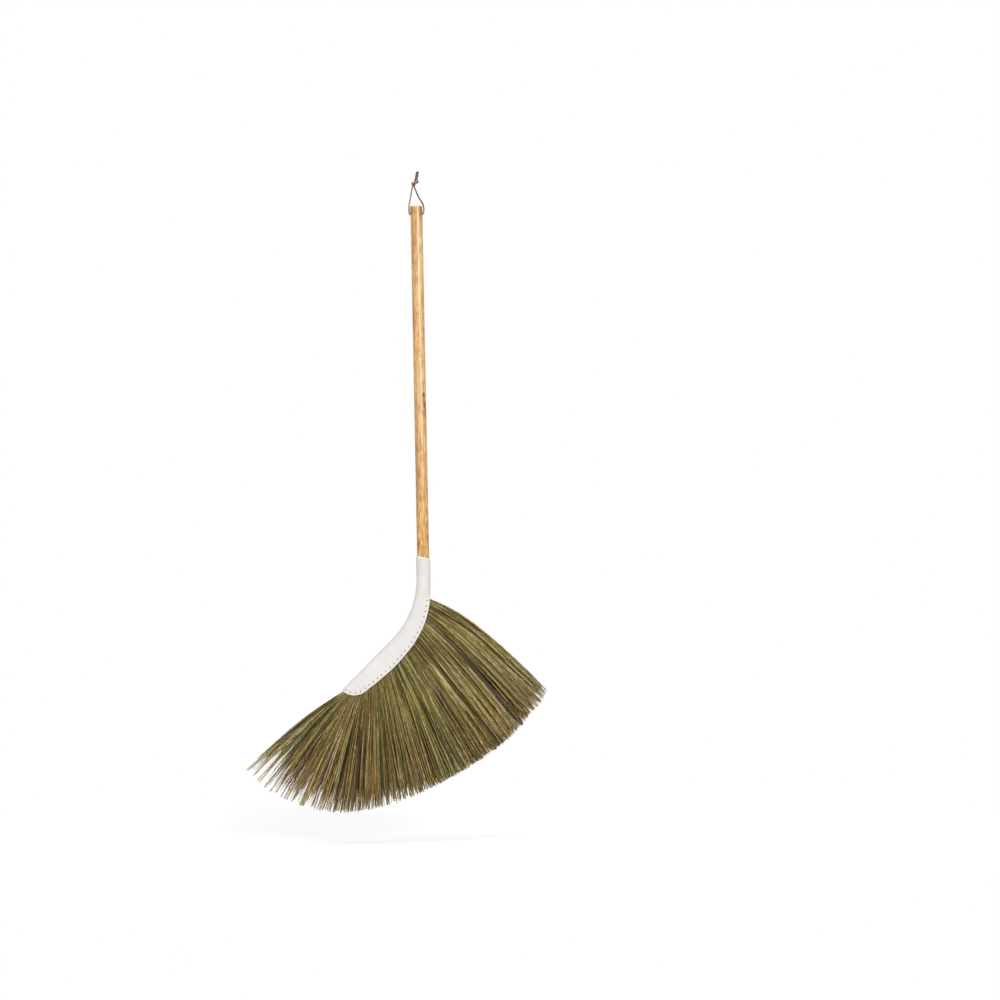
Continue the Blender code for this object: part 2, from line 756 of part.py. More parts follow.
def strand_line(share, row_depth, tip_depth, ragged):
    """A strand's start on the slice, the point that it bends towards and its tip."""
    point, out = edge_at(stitch_length(share))
    line = root_direction(share)
    start = point - line * (SLICE_EDGE_INSET / line.dot(out)) + Vector((0, row_depth, 0))
    heading = direction(smooth(HEADING_SHARES, share))
    reach = FAN_LENGTH * smooth(LENGTH_SHARES, share) * ragged
    lean = Vector((0, tip_depth - row_depth, 0))
    bend = start + line * (reach * BEND_SHARE) + lean * BEND_SHARE
    return start, bend, start + heading * reach + lean


def along_strand(strand, u):
    """The point and the heading at a share of the strand."""
    start, bend, tip = strand
    place = start * (1 - u) ** 2 + bend * (2 * u * (1 - u)) + tip * u ** 2
    return place, ((bend - start) * (1 - u) + (tip - bend) * u).normalized()


def strand_rings(share, step, row_depth, tip_depth, ragged, flipped):
    """Triangles along a strand, from inside the slice to the tip, with one more where it droops."""
    strand = strand_line(share, row_depth, tip_depth, ragged)
    beside = strand_line(share + step, row_depth, tip_depth, ragged)
    first_turn = 1.5 if flipped else 0.5
    widths = [(0, STRAND_ROOT_RADIUS), (STRAND_BELLY_SHARE, STRAND_BELLY_RADIUS), (1, STRAND_TIP_RADIUS)]
    if smooth(DROOP_SHARES, share) > BENT_DROOP_SHARE:
        widths.insert(1, (STRAND_BEND_SHARE, (STRAND_ROOT_RADIUS + STRAND_BELLY_RADIUS) / 2))
    rings = []
    for u, most in widths:
        middle, along = along_strand(strand, u)
        side = outward(along).normalized()
        deep = along.cross(side).normalized()
        room = abs((along_strand(beside, u)[0] - middle).dot(side))
        radius = min(most, room * STRAND_PACK_SHARE)
        if u == 0:
            middle = middle - along * STRAND_SINK
        turns = [math.pi * (2 * j / 3 + first_turn) for j in range(3)]
        spokes = [side * math.cos(a) + deep * math.sin(a) for a in turns]
        rings.append([middle + spoke * radius for spoke in spokes])
    return rings


def make_bunch(number, grass, pivot):
    """One bunch: its slice of backing, with rows of strands fused to it."""
    dice = random.Random(number)
    first, second = STITCH_SHARES[number - 1], STITCH_SHARES[number]
    outline = slice_outline(first, second)
    half = slice_half_depth(outline)
    rings = [[p + Vector((0, y, 0)) for p in outline] for y in (-half, half)]
    bunch = solid(
        f"grass_bunch_{number:02d}", rings[0] + rings[1], ring_faces(rings), grass, pivot, 20
    )
    points, faces = [], []
    for r, count in enumerate(ROW_COUNTS):
        row = 2 * r / (len(ROW_COUNTS) - 1) - 1
        step = (second - first) / count
        for i in range(count):
            ragged = 1 - RAGGED_SHARE * dice.random()
            jitter = DEPTH_JITTER_SHARE * (dice.uniform(-1, 1) - row)
            depths = (row * half * ROW_SHARE, (row + jitter) * FAN_DEPTH / 2)
            strand = strand_rings(first + step * (i + 0.5), step, *depths, ragged, i % 2)
            faces += [tuple(len(points) + k for k in face) for face in ring_faces(strand)]
            points += [p for ring in strand for p in ring]
    strands = solid(f"strands_{number:02d}", points, faces, None, pivot)
    cut(bunch, strands, "UNION")
    return bunch


# Assembly

def build():
    wood = finish_material("handle_wood", (0.62, 0.36, 0.15), 0.45)
    lace_leather = finish_material("lace_leather", (0.24, 0.11, 0.06), 0.6)
    sleeve_leather = finish_material("sleeve_leather", (0.82, 0.80, 0.77), 0.55)
    thread = finish_material("stitch_thread", (0.86, 0.84, 0.80), 0.7)
    straw = finish_material("stem_straw", (0.36, 0.30, 0.12), 0.75)
    grass = finish_material("broom_grass", (0.25, 0.22, 0.08), 0.7)
    steel = finish_material("binding_steel", (0.55, 0.55, 0.56), 0.35, 1.0)

    pivot = bpy.data.objects.new("broom_pivot", None)
    pivot.location = (LOOP_LEAN, 0, -LOOP_HEIGHT - LACE_HOLE_DROP)
    bpy.context.scene.collection.objects.link(pivot)

    make_lace(lace_leather)
    make_knot(lace_leather)
    make_tails(lace_leather)
    make_handle(wood, pivot)
    make_nail(steel, pivot)
    make_stems(straw, pivot)
    make_binding("binding_wire_upper", 0, steel, pivot)
    make_binding("binding_wire_lower", 1, steel, pivot)
    make_sleeve(sleeve_leather, pivot)
    make_thread("stitch_thread_outer", THREAD_SHIFT, -1, thread, pivot)
    make_thread("stitch_thread_inner", -THREAD_SHIFT, 1, thread, pivot)
    for number in range(1, STITCH_COUNT):
        make_bunch(number, grass, pivot)


build()
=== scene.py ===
"""A hanging grass broom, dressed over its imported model: lace, handle, bound stems, sleeve, grass, stitching.

Metres, +Z up along the handle, +X towards the heel of the fan and -Y towards its front face. The origin
is where a hook bears in the leather loop, just under the knot.
"""

import math

import bmesh
import bpy
import numpy as np
from mathutils import Matrix, Vector, noise


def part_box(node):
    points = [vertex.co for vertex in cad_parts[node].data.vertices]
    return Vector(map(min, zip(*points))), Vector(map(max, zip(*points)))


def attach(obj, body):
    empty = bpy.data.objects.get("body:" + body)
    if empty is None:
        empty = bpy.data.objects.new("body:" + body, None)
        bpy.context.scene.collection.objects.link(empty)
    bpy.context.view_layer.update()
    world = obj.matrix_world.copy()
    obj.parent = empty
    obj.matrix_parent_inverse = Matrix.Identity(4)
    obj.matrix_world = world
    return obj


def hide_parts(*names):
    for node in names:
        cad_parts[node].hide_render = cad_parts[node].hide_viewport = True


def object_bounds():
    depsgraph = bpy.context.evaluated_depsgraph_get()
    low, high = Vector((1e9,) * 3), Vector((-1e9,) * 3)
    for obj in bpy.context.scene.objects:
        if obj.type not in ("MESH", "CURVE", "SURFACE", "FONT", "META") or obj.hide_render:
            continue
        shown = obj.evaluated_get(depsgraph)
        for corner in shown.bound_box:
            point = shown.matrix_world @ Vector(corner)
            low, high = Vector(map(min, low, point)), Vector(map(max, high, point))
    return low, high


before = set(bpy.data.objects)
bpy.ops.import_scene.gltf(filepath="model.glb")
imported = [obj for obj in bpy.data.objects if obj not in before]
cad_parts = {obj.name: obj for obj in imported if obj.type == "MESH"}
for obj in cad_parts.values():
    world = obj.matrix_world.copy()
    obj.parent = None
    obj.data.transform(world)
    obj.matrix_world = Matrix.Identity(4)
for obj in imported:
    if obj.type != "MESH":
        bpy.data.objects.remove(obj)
cad_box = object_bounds()


# The view, the floor and the light
# The broom hangs free in a plain white studio, with its lowest tips just off a pale floor. It is seen
# level and square from five metres, lit by a pale room, a large soft lamp at the front right, and weaker
# ones at the left and above.
PIXEL = 0.0016537
FRAME_PIXELS = 1000
HANDLE_TOP_PIXEL = (416.3, 206.3)
HANG_TILT = math.radians(1.117)
VIEW_DISTANCE = 5.0
SENSOR_WIDTH = 36.0
FLOOR_GAP = 0.055
FLOOR_RADIUS = 1.0
FLOOR_WHITE = 0.88
FLOOR_GLOW = 0.36
ROOM_WHITE = 0.48
WHITE = (1, 1, 1, 1)
LAMPS = (
    ("key_lamp", (1.7, -3.5, 0.9), 1.2, 79),
    ("fill_lamp", (-3.2, -2.6, 0.4), 2.4, 12),
    ("top_lamp", (-0.9, -0.7, 1.9), 2.2, 26),
)

handle_low, handle_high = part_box("handle")
HANDLE_TOP = Vector(((handle_low.x + handle_high.x) / 2, 0, handle_high.z))


def pick(*pieces):
    """Selects these alone: an operator works on all that is selected, and the frame's parts come in so."""
    bpy.ops.object.select_all(action="DESELECT")
    for piece in pieces:
        piece.select_set(True)
        bpy.context.view_layer.objects.active = pieces[0]


def fill(inlet, value):
    """A socket's own value, or a link into it from another node."""
    if hasattr(value, "socket"):
        value.tree.links.new(value.socket, inlet)
    else:
        inlet.default_value = value


def set_inputs(node, **values):
    """A node's sockets by name, with _ for a space."""
    for name, value in values.items():
        fill(node.inputs[name.replace("_", " ")], value)


def hang_camera():
    """Level and square to the fan, rolled by the little that the broom hangs out of upright."""
    right = Vector((math.cos(HANG_TILT), 0, -math.sin(HANG_TILT)))
    up = Vector((math.sin(HANG_TILT), 0, math.cos(HANG_TILT)))
    across = (FRAME_PIXELS / 2 - HANDLE_TOP_PIXEL[0]) * PIXEL
    down = (FRAME_PIXELS / 2 - HANDLE_TOP_PIXEL[1]) * PIXEL
    middle = HANDLE_TOP + right * across - up * down
    pick()
    bpy.ops.object.camera_add(
        location=middle - Vector((0, VIEW_DISTANCE, 0)), rotation=(math.pi / 2, HANG_TILT, 0)
    )
    camera = bpy.context.object
    camera.data.sensor_width = SENSOR_WIDTH
    camera.data.lens = SENSOR_WIDTH * VIEW_DISTANCE / (FRAME_PIXELS * PIXEL)
    bpy.context.scene.camera = camera


def soft_lamp(name, place, size, power):
    """A square lamp that faces the middle of the broom."""
    aim = Vector((0, 0, cad_box[0][2] / 2)) - Vector(place)
    pick()
    bpy.ops.object.light_add(
        type="AREA", location=place, rotation=aim.to_track_quat("-Z", "Y").to_euler()
    )
    lamp = bpy.context.object
    lamp.name = name
    lamp.data.size = size
    lamp.data.energy = power


def lay_floor():
    """A round pale floor under the broom's tips, lit through like a studio's glowing table."""
    pick()
    bpy.ops.mesh.primitive_circle_add(
        vertices=96, radius=FLOOR_RADIUS, fill_type="NGON", location=(0, 0, cad_box[0][2] - FLOOR_GAP)
    )
    floor = bpy.context.object
    floor.name = "studio_floor"
    paint = bpy.data.materials.new("pale_floor")
    paint.use_nodes = True
    set_inputs(
        paint.node_tree.nodes["Principled BSDF"], Base_Color=(FLOOR_WHITE, FLOOR_WHITE, FLOOR_WHITE, 1),
        Roughness=0.9, Specular_IOR_Level=0.1, Emission_Color=WHITE, Emission_Strength=FLOOR_GLOW,
    )
    floor.data.materials.append(paint)


def light_room():
    """A white room all round, seen as pure white and a little dimmer as light."""
    room = bpy.data.worlds.new("white_room")
    room.use_nodes = True
    bpy.context.scene.world = room
    nodes = room.node_tree.nodes
    glow, seen = nodes["Background"], nodes.new("ShaderNodeBackground")
    set_inputs(glow, Color=WHITE, Strength=ROOM_WHITE)
    set_inputs(seen, Color=WHITE, Strength=1.0)
    path, mix = nodes.new("ShaderNodeLightPath"), nodes.new("ShaderNodeMixShader")
    for outlet, inlet in (
        (path.outputs["Is Camera Ray"], mix.inputs[0]), (glow.outputs[0], mix.inputs[1]),
        (seen.outputs[0], mix.inputs[2]), (mix.outputs[0], nodes["World Output"].inputs["Surface"]),
    ):
        room.node_tree.links.new(outlet, inlet)


bpy.context.scene.view_settings.view_transform = "Standard"
hang_camera()
for lamp in LAMPS:
    soft_lamp(*lamp)
lay_floor()
light_room()


# Hanging lace, its knot and its two tails
# One flat brown leather lace runs through the handle's cross hole, and its ends are tied in an overhand
# knot above the hook's place. One raw, paler edge faces the front on the left leg, and the dark face on
# the right.
LACE_WIDTH = 0.0023
LACE_THICKNESS = 0.0023
LACE_HOLE_SHARES = (0.40, 0.56)
LACE_HOLE_DROP = 0.0135
LACE_BEND_RADIUS = 0.0018
LOOP_HEIGHT = 0.0327
LOOP_LEAN = 0.0047
LEG_X = 0.01165
LEG_BOW = 0.0012
LEG_SPREAD = 0.0020
LEG_STEPS = (5, 7, 3, 1, 2, 1, 1, 2, 1, 3, 7, 5)
LEFT_LEG_SHARE = 0.62
RIGHT_LEG_SHARE = 0.43
LACE_CORNER_SHARE = 0.55
LACE_TWIST = math.radians(14)
MAP_UNIT = 0.01
KNOT_MIDDLE = Vector((0.0036, 0, 0.0054))
KNOT_LEAN = math.radians(24)
KNOT_CROWN = Vector((-math.sin(KNOT_LEAN), 0, math.cos(KNOT_LEAN)))
KNOT_STEPS = 28
TAIL_TILT = math.radians(12)
TAIL_AXIS = Vector((math.sin(TAIL_TILT), 0, math.cos(TAIL_TILT)))
TAIL_SIDE = Vector((TAIL_AXIS.z, 0, -TAIL_AXIS.x))
TAIL_SEAT = Vector((0.00463, 0, 0.0094))
TAIL_LENGTH = 0.0162
TAIL_SPACE = 0.0027
TAIL_STEPS = 12
KNOT_RISES = ((-1, Vector((-0.00105, 0, -0.0004))), (1, Vector((0.00175, 0, -0.0004))))
KNOT_TURNS = (
    (KNOT_MIDDLE + KNOT_CROWN * 0.0018, 0.0052, 0.0031, KNOT_LEAN, 0.0004, 0.0002, 0.95),
    (KNOT_MIDDLE - KNOT_CROWN * 0.0005, 0.0055, 0.0033, KNOT_LEAN, -0.0003, 0.0002, 0.12),
    (KNOT_MIDDLE - Vector((0.0023, 0, 0.0023)), 0.0029, 0.0024, math.radians(38), 0.0006, 0.0, 0.1),
)


class Finish:
    """A material being mixed, or one value in it that takes part in sums."""

    def __init__(self, tree, socket=None):
        self.tree = tree
        self.socket = socket

    def node(self, kind, settings=None, sockets=None, outlet=0):
        """Any node: its settings are set first, then its sockets by name or number."""
        made = self.tree.nodes.new(kind)
        for key, value in (settings or {}).items():
            if key == "stops":
                ramp = made.color_ramp.elements
                for stop, (place, colour) in ((ramp[0], value[0]), (ramp[1], value[-1])):
                    stop.position, stop.color = place, (*colour, 1)
                for place, colour in value[1:-1]:
                    ramp.new(place).color = (*colour, 1)
            else:
                setattr(made, key, value)
        for key, value in (sockets or {}).items():
            fill(made.inputs[key], value)
        return Finish(self.tree, made.outputs[outlet])

    def maths(self, operation, *values):
        """One sum, of values in this material or plain numbers."""
        return self.node("ShaderNodeMath", {"operation": operation}, dict(enumerate(values)))

    def __add__(self, other):
        return self.maths("ADD", self, other)

    def __sub__(self, other):
        return self.maths("SUBTRACT", self, other)

    def __rsub__(self, other):
        return self.maths("SUBTRACT", other, self)

    def __mul__(self, other):
        return self.maths("MULTIPLY", self, other)

    __radd__ = __add__
    __rmul__ = __mul__

    def vector(self, operation, *values, outlet=0):
        """Vector maths on this value, and others where the operation takes them."""
        places = dict(enumerate((self, *values)))
        return self.node("ShaderNodeVectorMath", {"operation": operation}, places, outlet)

    def part(self, letter):
        """One of a vector's three values."""
        return self.node("ShaderNodeSeparateXYZ", None, {0: self}, "XYZ".index(letter))

    def stretched(self, x, y, z):
        """A place scaled by a different amount along each axis."""
        return self.vector("MULTIPLY", (x, y, z))

    def cloud(self, scale=1.0, detail=2.0, rough=0.5):
        """Soft noise at this place, from 0 to 1 and mostly near a half."""
        return self.node("ShaderNodeTexNoise", None, {
            "Vector": self, "Scale": scale, "Detail": detail, "Roughness": rough,
        })

    def rise(self, low, high):
        """0 below low, 1 above high and smooth between them."""
        return self.node("ShaderNodeMapRange", {"interpolation_type": "SMOOTHSTEP"}, {
            "Value": self, "From Min": low, "From Max": high,
        })

    def blend(self, first, second):
        """The first colour where this is 0 and the second where it is 1."""
        first, second = (c if isinstance(c, Finish) else (*c, 1) for c in (first, second))
        return self.node("ShaderNodeMix", {"data_type": "RGBA"}, {0: self, 6: first, 7: second}, 2)


def mix_finish(name):
    """A new material and the place on the piece that its pattern follows."""
    material = bpy.data.materials.new(name)
    material.use_nodes = True
    finish = Finish(material.node_tree)
    return material, finish.node("ShaderNodeTexCoord", None, None, "Object")


def set_finish(material, colour, roughness, bump=None, depth=0.0002, **constants):
    """Colour, roughness and relief into the shader, and the rest on its own sockets."""
    shader = material.node_tree.nodes["Principled BSDF"]
    set_inputs(shader, Base_Color=colour, Roughness=roughness, **constants)
    if bump:
        set_inputs(shader, Normal=bump.node("ShaderNodeBump", None, {"Height": bump, "Distance": depth}))


def lace_finish(name, face, flesh, edge):
    """Brown leather: dark face, dull flesh side and raw edges, faded on the left leg, and below the handle's
    top darker on the left and paler on the right.
    """
    material, place = mix_finish(name)
    uv = place.node("ShaderNodeUVMap", {"uv_map": "along"})
    around = uv.part("X") * (2 * math.pi)
    flank = around.maths("ABSOLUTE", around.maths("COSINE", around)).rise(0.86, 0.97)
    under = around.maths("SINE", around).rise(-0.1, 0.25)
    fibre = uv.stretched(26, 3.2, 1).cloud(1.0, 4, 0.7)
    mottle = place.cloud(420, 3, 0.6)
    skin = under.blend(face, flesh)
    skin = flank.blend(skin, edge)
    skin = (fibre.rise(0.62, 0.30) * 0.5).blend(skin, tuple(0.35 * c for c in face))
    skin = (mottle.rise(0.45, 0.8) * 0.35).blend(skin, tuple(min(1.7 * c, 1) for c in face))
    across, height = place.part("X"), place.part("Z")
    faded = across.rise(0.0016, -0.0014) * height.rise(0.002, -0.004)
    skin = (faded * 0.45).blend(skin, (0.42, 0.33, 0.26))
    # Below the handle's top the lace is coloured darker on the left leg and paler on the right.
    below_handle_top = height.rise(0.001 - LOOP_HEIGHT, -0.004 - LOOP_HEIGHT)
    left_dark_right_pale = across.rise(0.002, 0.008).blend((0.20, 0.110, 0.045), (0.42, 0.24, 0.145))
    skin = (below_handle_top * 0.75).blend(skin, left_dark_right_pale)
    set_finish(material, skin, 0.5 + 0.3 * fibre, fibre + 0.6 * mottle, 0.0003)
    return material


def new_piece(name, points, faces, material=None, layer="", corners=None):
    """A mesh object, with its material and its map's name and corners if it has them."""
    mesh = bpy.data.meshes.new(name)
    mesh.from_pydata(points, [], faces)
    if layer:
        mesh.uv_layers.new(name=layer).data.foreach_set("uv", np.ravel(corners))
    if material:
        mesh.materials.append(material)
    piece = bpy.data.objects.new(name, mesh)
    bpy.context.scene.collection.objects.link(piece)
    return piece


def outwards(piece):
    """Turns every face of a closed mesh outwards."""
    shape = bmesh.new()
    shape.from_mesh(piece.data)
    bmesh.ops.recalc_face_normals(shape, faces=shape.faces)
    shape.to_mesh(piece.data)
    shape.free()


def joined(name, parts):
    """Several meshes as one piece."""
    pick(*parts)
    bpy.ops.object.join()
    parts[0].name = name
    return parts[0]


def path_lengths(path):
    """The length along the path at each of its points."""
    lengths = [0.0]
    for a, b in zip(path, path[1:]):
        lengths.append(lengths[-1] + (b - a).length)
    return lengths


def squared(value):
    """A sine or cosine pushed outwards, which makes a circle squarer."""
    return math.copysign(abs(value) ** LACE_CORNER_SHARE, value)


def swept(name, path, width, thickness, first_side, turn, material, sides=16, closed=False):
    """A strip with soft corners that follows the path, turned about it by turn(share) as it goes."""
    lengths = path_lengths([*path, path[0]])
    count = len(path)
    whole = lengths[count - 1]
    around = [path[-1], *path, path[0]] if closed else [path[0], *path, path[-1]]
    side = Vector(first_side)
    points = []
    for i, point in enumerate(path):
        along = (around[i + 2] - around[i]).normalized()
        side = (side - along * side.dot(along)).normalized()
        deep = along.cross(side)
        angle = turn(lengths[i] / whole)
        wide_way = side * math.cos(angle) + deep * math.sin(angle)
        thin_way = deep * math.cos(angle) - side * math.sin(angle)
        for j in range(sides):
            a = 2 * math.pi * j / sides
            x, y = squared(math.cos(a)) * width / 2, squared(math.sin(a)) * thickness / 2
            points.append(point + wide_way * x + thin_way * y)
    faces, corners = [], []
    for i in range(count if closed else count - 1):
        k = (i + 1) % count
        v0, v1 = lengths[i] / MAP_UNIT, lengths[i + 1] / MAP_UNIT
        for j in range(sides):
            n = (j + 1) % sides
            faces.append((i * sides + j, i * sides + n, k * sides + n, k * sides + j))
            u0, u1 = j / sides, (j + 1) / sides
            corners += [(u0, v0), (u1, v0), (u1, v1), (u0, v1)]
    if not closed:
        faces += [tuple(reversed(range(sides))), tuple((count - 1) * sides + j for j in range(sides))]
        corners += [(0, 0)] * sides + [(0, whole / MAP_UNIT)] * sides
    piece = new_piece(name, points, faces, material, "along", corners)
    piece.data.shade_smooth()
    piece.data.set_sharp_from_angle(angle=math.radians(60))
    outwards(piece)
    return piece


def steady(angle):
    """A turn that is the same all along a strip."""
    return lambda share: angle


def lace_route():
    """From the knot down the left leg, through the handle and up the right leg."""
    top = -LOOP_HEIGHT
    hole = top - LACE_HOLE_DROP
    bend = LACE_BEND_RADIUS
    left, right = LOOP_LEAN - LEG_X, LOOP_LEAN + LEG_X
    slack = bend * (1 - math.sqrt(0.5))
    places = (
        (-LEG_SPREAD / 2, 0), (left * LEFT_LEG_SHARE, top / 2), (left - LEG_BOW / 3, top),
        (left, hole + bend), (left + slack, hole + slack), (left + bend, hole),
        (LOOP_LEAN, hole),
        (right - bend, hole), (right - slack, hole + slack), (right, hole + bend),
        (right + LEG_BOW / 3, top), (right * RIGHT_LEG_SHARE + LEG_BOW, top / 2), (LEG_SPREAD * 0.85, 0),
    )
    return [Vector((x, 0, z)) for x, z in places]


def between(u, first, last, first_slope, last_slope, span):
    """At a share u of a smooth step from first to last over the span, with these slopes at its ends."""
    start = (1 + 2 * u) * (1 - u) ** 2 * first + u * (1 - u) ** 2 * span * first_slope
    end = u * u * (3 - 2 * u) * last + u * u * (u - 1) * span * last_slope
    return start + end


def eased(value, low, high):
    """0 below low, 1 above high and smooth between them."""
    u = min(max((value - low) / (high - low), 0), 1)
    return u * u * (3 - 2 * u)


def smooth_route(route, steps):
    """A curve through the route's points, with as many steps to each stretch as steps says."""
    spans = [math.sqrt((b - a).length) for a, b in zip(route, route[1:])]
    slopes = [(b - a) / span for a, b, span in zip(route, route[1:], spans)]
    tangents = [slopes[0]]
    for i in range(1, len(spans)):
        tangents.append((slopes[i - 1] * spans[i] + slopes[i] * spans[i - 1]) / (spans[i - 1] + spans[i]))
    tangents.append(slopes[-1])
    found = []
    for i, count in enumerate(steps):
        for k in range(count):
            found.append(between(k / count, *route[i:i + 2], *tangents[i:i + 2], spans[i]))
    return [*found, route[-1]]


def lace_turn(share):
    """A quarter turn of the lace inside the handle, and a slow twist on each leg."""
    return math.radians(90) * (1 - eased(share, *LACE_HOLE_SHARES)) + LACE_TWIST * math.sin(share * 23)


def curved(start, bend, end, u):
    """At a share u of a curve from start to end that is drawn towards the bend."""
    return start * (1 - u) ** 2 + bend * (2 * u * (1 - u)) + end * u ** 2


def knot_turn(middle, wide, deep, lean, rise, tilt, roll, leather):
    """One closed turn of lace round the knot, its plane leaning up to the right."""
    along = Vector((math.cos(lean), 0, math.sin(lean)))
    up = Vector((-math.sin(lean), 0, math.cos(lean)))
    ring = []
    for i in range(KNOT_STEPS):
        a = 2 * math.pi * i / KNOT_STEPS
        place = middle + along * (wide * math.cos(a)) + Vector((0, -deep * math.sin(a), 0))
        ring.append(place + up * (rise * math.sin(a) + tilt * math.cos(2 * a)))
    return swept("turn", ring, LACE_WIDTH, LACE_THICKNESS, up, steady(roll), leather, closed=True)


def tie_knot(leather):
    """The doubled lace's rise through the knot, the two turns across its front and the turn under them."""
    parts = []
    for sign, start in KNOT_RISES:
        seat = TAIL_SEAT + TAIL_SIDE * (sign * TAIL_SPACE / 2) + TAIL_AXIS * 0.0002
        bend = start + Vector((0.0006 * sign, 0, 0.0030))
        rise = [curved(start, bend, seat, u) for u in np.linspace(0, 1, 9)]
        parts.append(swept("rise", rise, LACE_WIDTH * 0.9, LACE_THICKNESS, (1, 0, 0), steady(0), leather))
    parts += [knot_turn(*turn, leather) for turn in KNOT_TURNS]
    return joined("lace_knot_tied", parts)


def cut_tail(name, sign, leather, length):
    """One cut end of the lace above the knot, with a slight wave and its raw edge to the front."""
    path = []
    for i in range(TAIL_STEPS + 1):
        share = i / TAIL_STEPS
        across = sign * (TAIL_SPACE / 2 - 0.0002 * share) + 0.00025 * math.sin(share * 5)
        back = Vector((0, 0.0005 * sign * share, 0))
        path.append(TAIL_SEAT + TAIL_SIDE * across + back + TAIL_AXIS * (length * share))
    return swept(
        name, path, LACE_WIDTH, LACE_THICKNESS, TAIL_SIDE, lambda s: math.radians(14 * sign + 16 * s), leather
    )


lace_leather = lace_finish("brown_lace", (0.130, 0.072, 0.050), (0.23, 0.145, 0.095), (0.29, 0.180, 0.130))
# The knot's raw edges are much paler than the lace's: their own paler colour, with a painted highlight on the
# knot's top turn.
knot_leather_and_highlight = lace_finish("knot_lace_and_highlight", (0.25, 0.105, 0.055), (0.30, 0.17, 0.11), (0.80, 0.53, 0.40))
tail_leather = lace_finish("tail_lace", (0.165, 0.080, 0.060), (0.22, 0.14, 0.11), (0.42, 0.28, 0.23))

lace_path = smooth_route(lace_route(), LEG_STEPS)
lace = swept(
    "hanging_lace_strip", lace_path, LACE_WIDTH, LACE_THICKNESS, (-1, 0, 0), lace_turn, lace_leather
)
knot = tie_knot(knot_leather_and_highlight)
tails = [cut_tail("lace_tail_short", -1, tail_leather, TAIL_LENGTH * 0.93),
         cut_tail("lace_tail_long", 1, tail_leather, TAIL_LENGTH)]
LACE_NODES = ("hanging_lace", "lace_knot", "lace_tail_left", "lace_tail_right")
for piece, node in zip([lace, knot, *tails], LACE_NODES):
    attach(piece, "hanging_loop")
    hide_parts(node)


# Handle
# A round pole turned from one piece of golden-brown wood and oiled, with eased ends, a cross hole for
# the lace and a thinner tang below that the stems are bound and nailed on. Its grain runs its whole
# length, and its marks, two of them pale patches of painted highlight at the front, are given by place from
# its top, size along each axis, strength and colour.
HANDLE_DIAMETER = 0.0200
HANDLE_LENGTH = 0.5990
HANDLE_EASING = 0.0008
TANG_DIAMETER = 0.0110
TANG_LENGTH = 0.0380
LACE_HOLE_DIAMETER = 0.0034
NAIL_HOLE_DIAMETER = 0.0026
NAIL_DROP = 0.0190
BORE_REACH = 0.030
WOOD_MARKS_AND_HIGHLIGHTS = (
    ((0.0062, -0.0078, -0.3120), (0.0031, 0.006, 0.0066), 0.95, (0.230, 0.042, 0.008)),
    ((0.0070, -0.0071, -0.3280), (0.0033, 0.006, 0.0090), 0.95, (0.260, 0.050, 0.010)),
    ((0.0086, -0.0050, -0.3400), (0.0026, 0.006, 0.0170), 0.75, (0.360, 0.095, 0.020)),
    ((0.0084, -0.0050, -0.0090), (0.0048, 0.007, 0.0130), 0.85, (0.340, 0.110, 0.026)),
    ((-0.0086, -0.0050, -0.0060), (0.0046, 0.007, 0.0130), 0.75, (0.240, 0.095, 0.030)),
    ((0.0097, -0.0020, -0.5680), (0.0016, 0.004, 0.0020), 0.90, (0.100, 0.040, 0.015)),
    ((0.0038, -0.0092, -0.2470), (0.0013, 0.004, 0.0055), 0.80, (0.200, 0.080, 0.035)),
    # Painted highlight: the next two pale patches sit at the front, where the handle's highlight falls.
    ((-0.0020, -0.0098, -0.3000), (0.0042, 0.006, 0.0520), 0.55, (0.920, 0.660, 0.380)),
    ((0.0030, -0.0095, -0.4430), (0.0040, 0.006, 0.0300), 0.55, (0.880, 0.580, 0.280)),
    ((-0.0050, -0.0086, -0.4450), (0.0040, 0.006, 0.0320), 0.55, (0.320, 0.130, 0.040)),
)


def edit(piece):
    """Edit mode on one piece, with nothing selected in it."""
    pick(piece)
    bpy.ops.object.mode_set(mode="EDIT")
    bpy.ops.mesh.select_all(action="DESELECT")


def choose(piece, kind, test):
    """Selects the faces or edges that pass the test."""
    shape = bmesh.from_edit_mesh(piece.data)
    bpy.ops.mesh.select_mode(type=kind)
    for item in shape.faces if kind == "FACE" else shape.edges:
        item.select_set(test(item))
    shape.select_flush_mode()
    bmesh.update_edit_mesh(piece.data)


def modify(piece, kind, **settings):
    """A modifier, set and applied."""
    modifier = piece.modifiers.new("step", kind)
    for name, value in settings.items():
        setattr(modifier, name, value)
    pick(piece)
    bpy.ops.object.modifier_apply(modifier=modifier.name)


def cut_out(piece, tool):
    """Cuts the tool's shape out of the piece."""
    modify(piece, "BOOLEAN", object=tool, solver="EXACT")
    bpy.data.objects.remove(tool)


def bore(piece, diameter, height, axis):
    """A round hole right through the pole."""
    pick()
    bpy.ops.mesh.primitive_cylinder_add(
        vertices=32, radius=diameter / 2, depth=BORE_REACH, location=(HANDLE_TOP.x, 0, height),
        rotation=Vector(axis).to_track_quat("Z", "Y").to_euler(),
    )
    cut_out(piece, bpy.context.object)


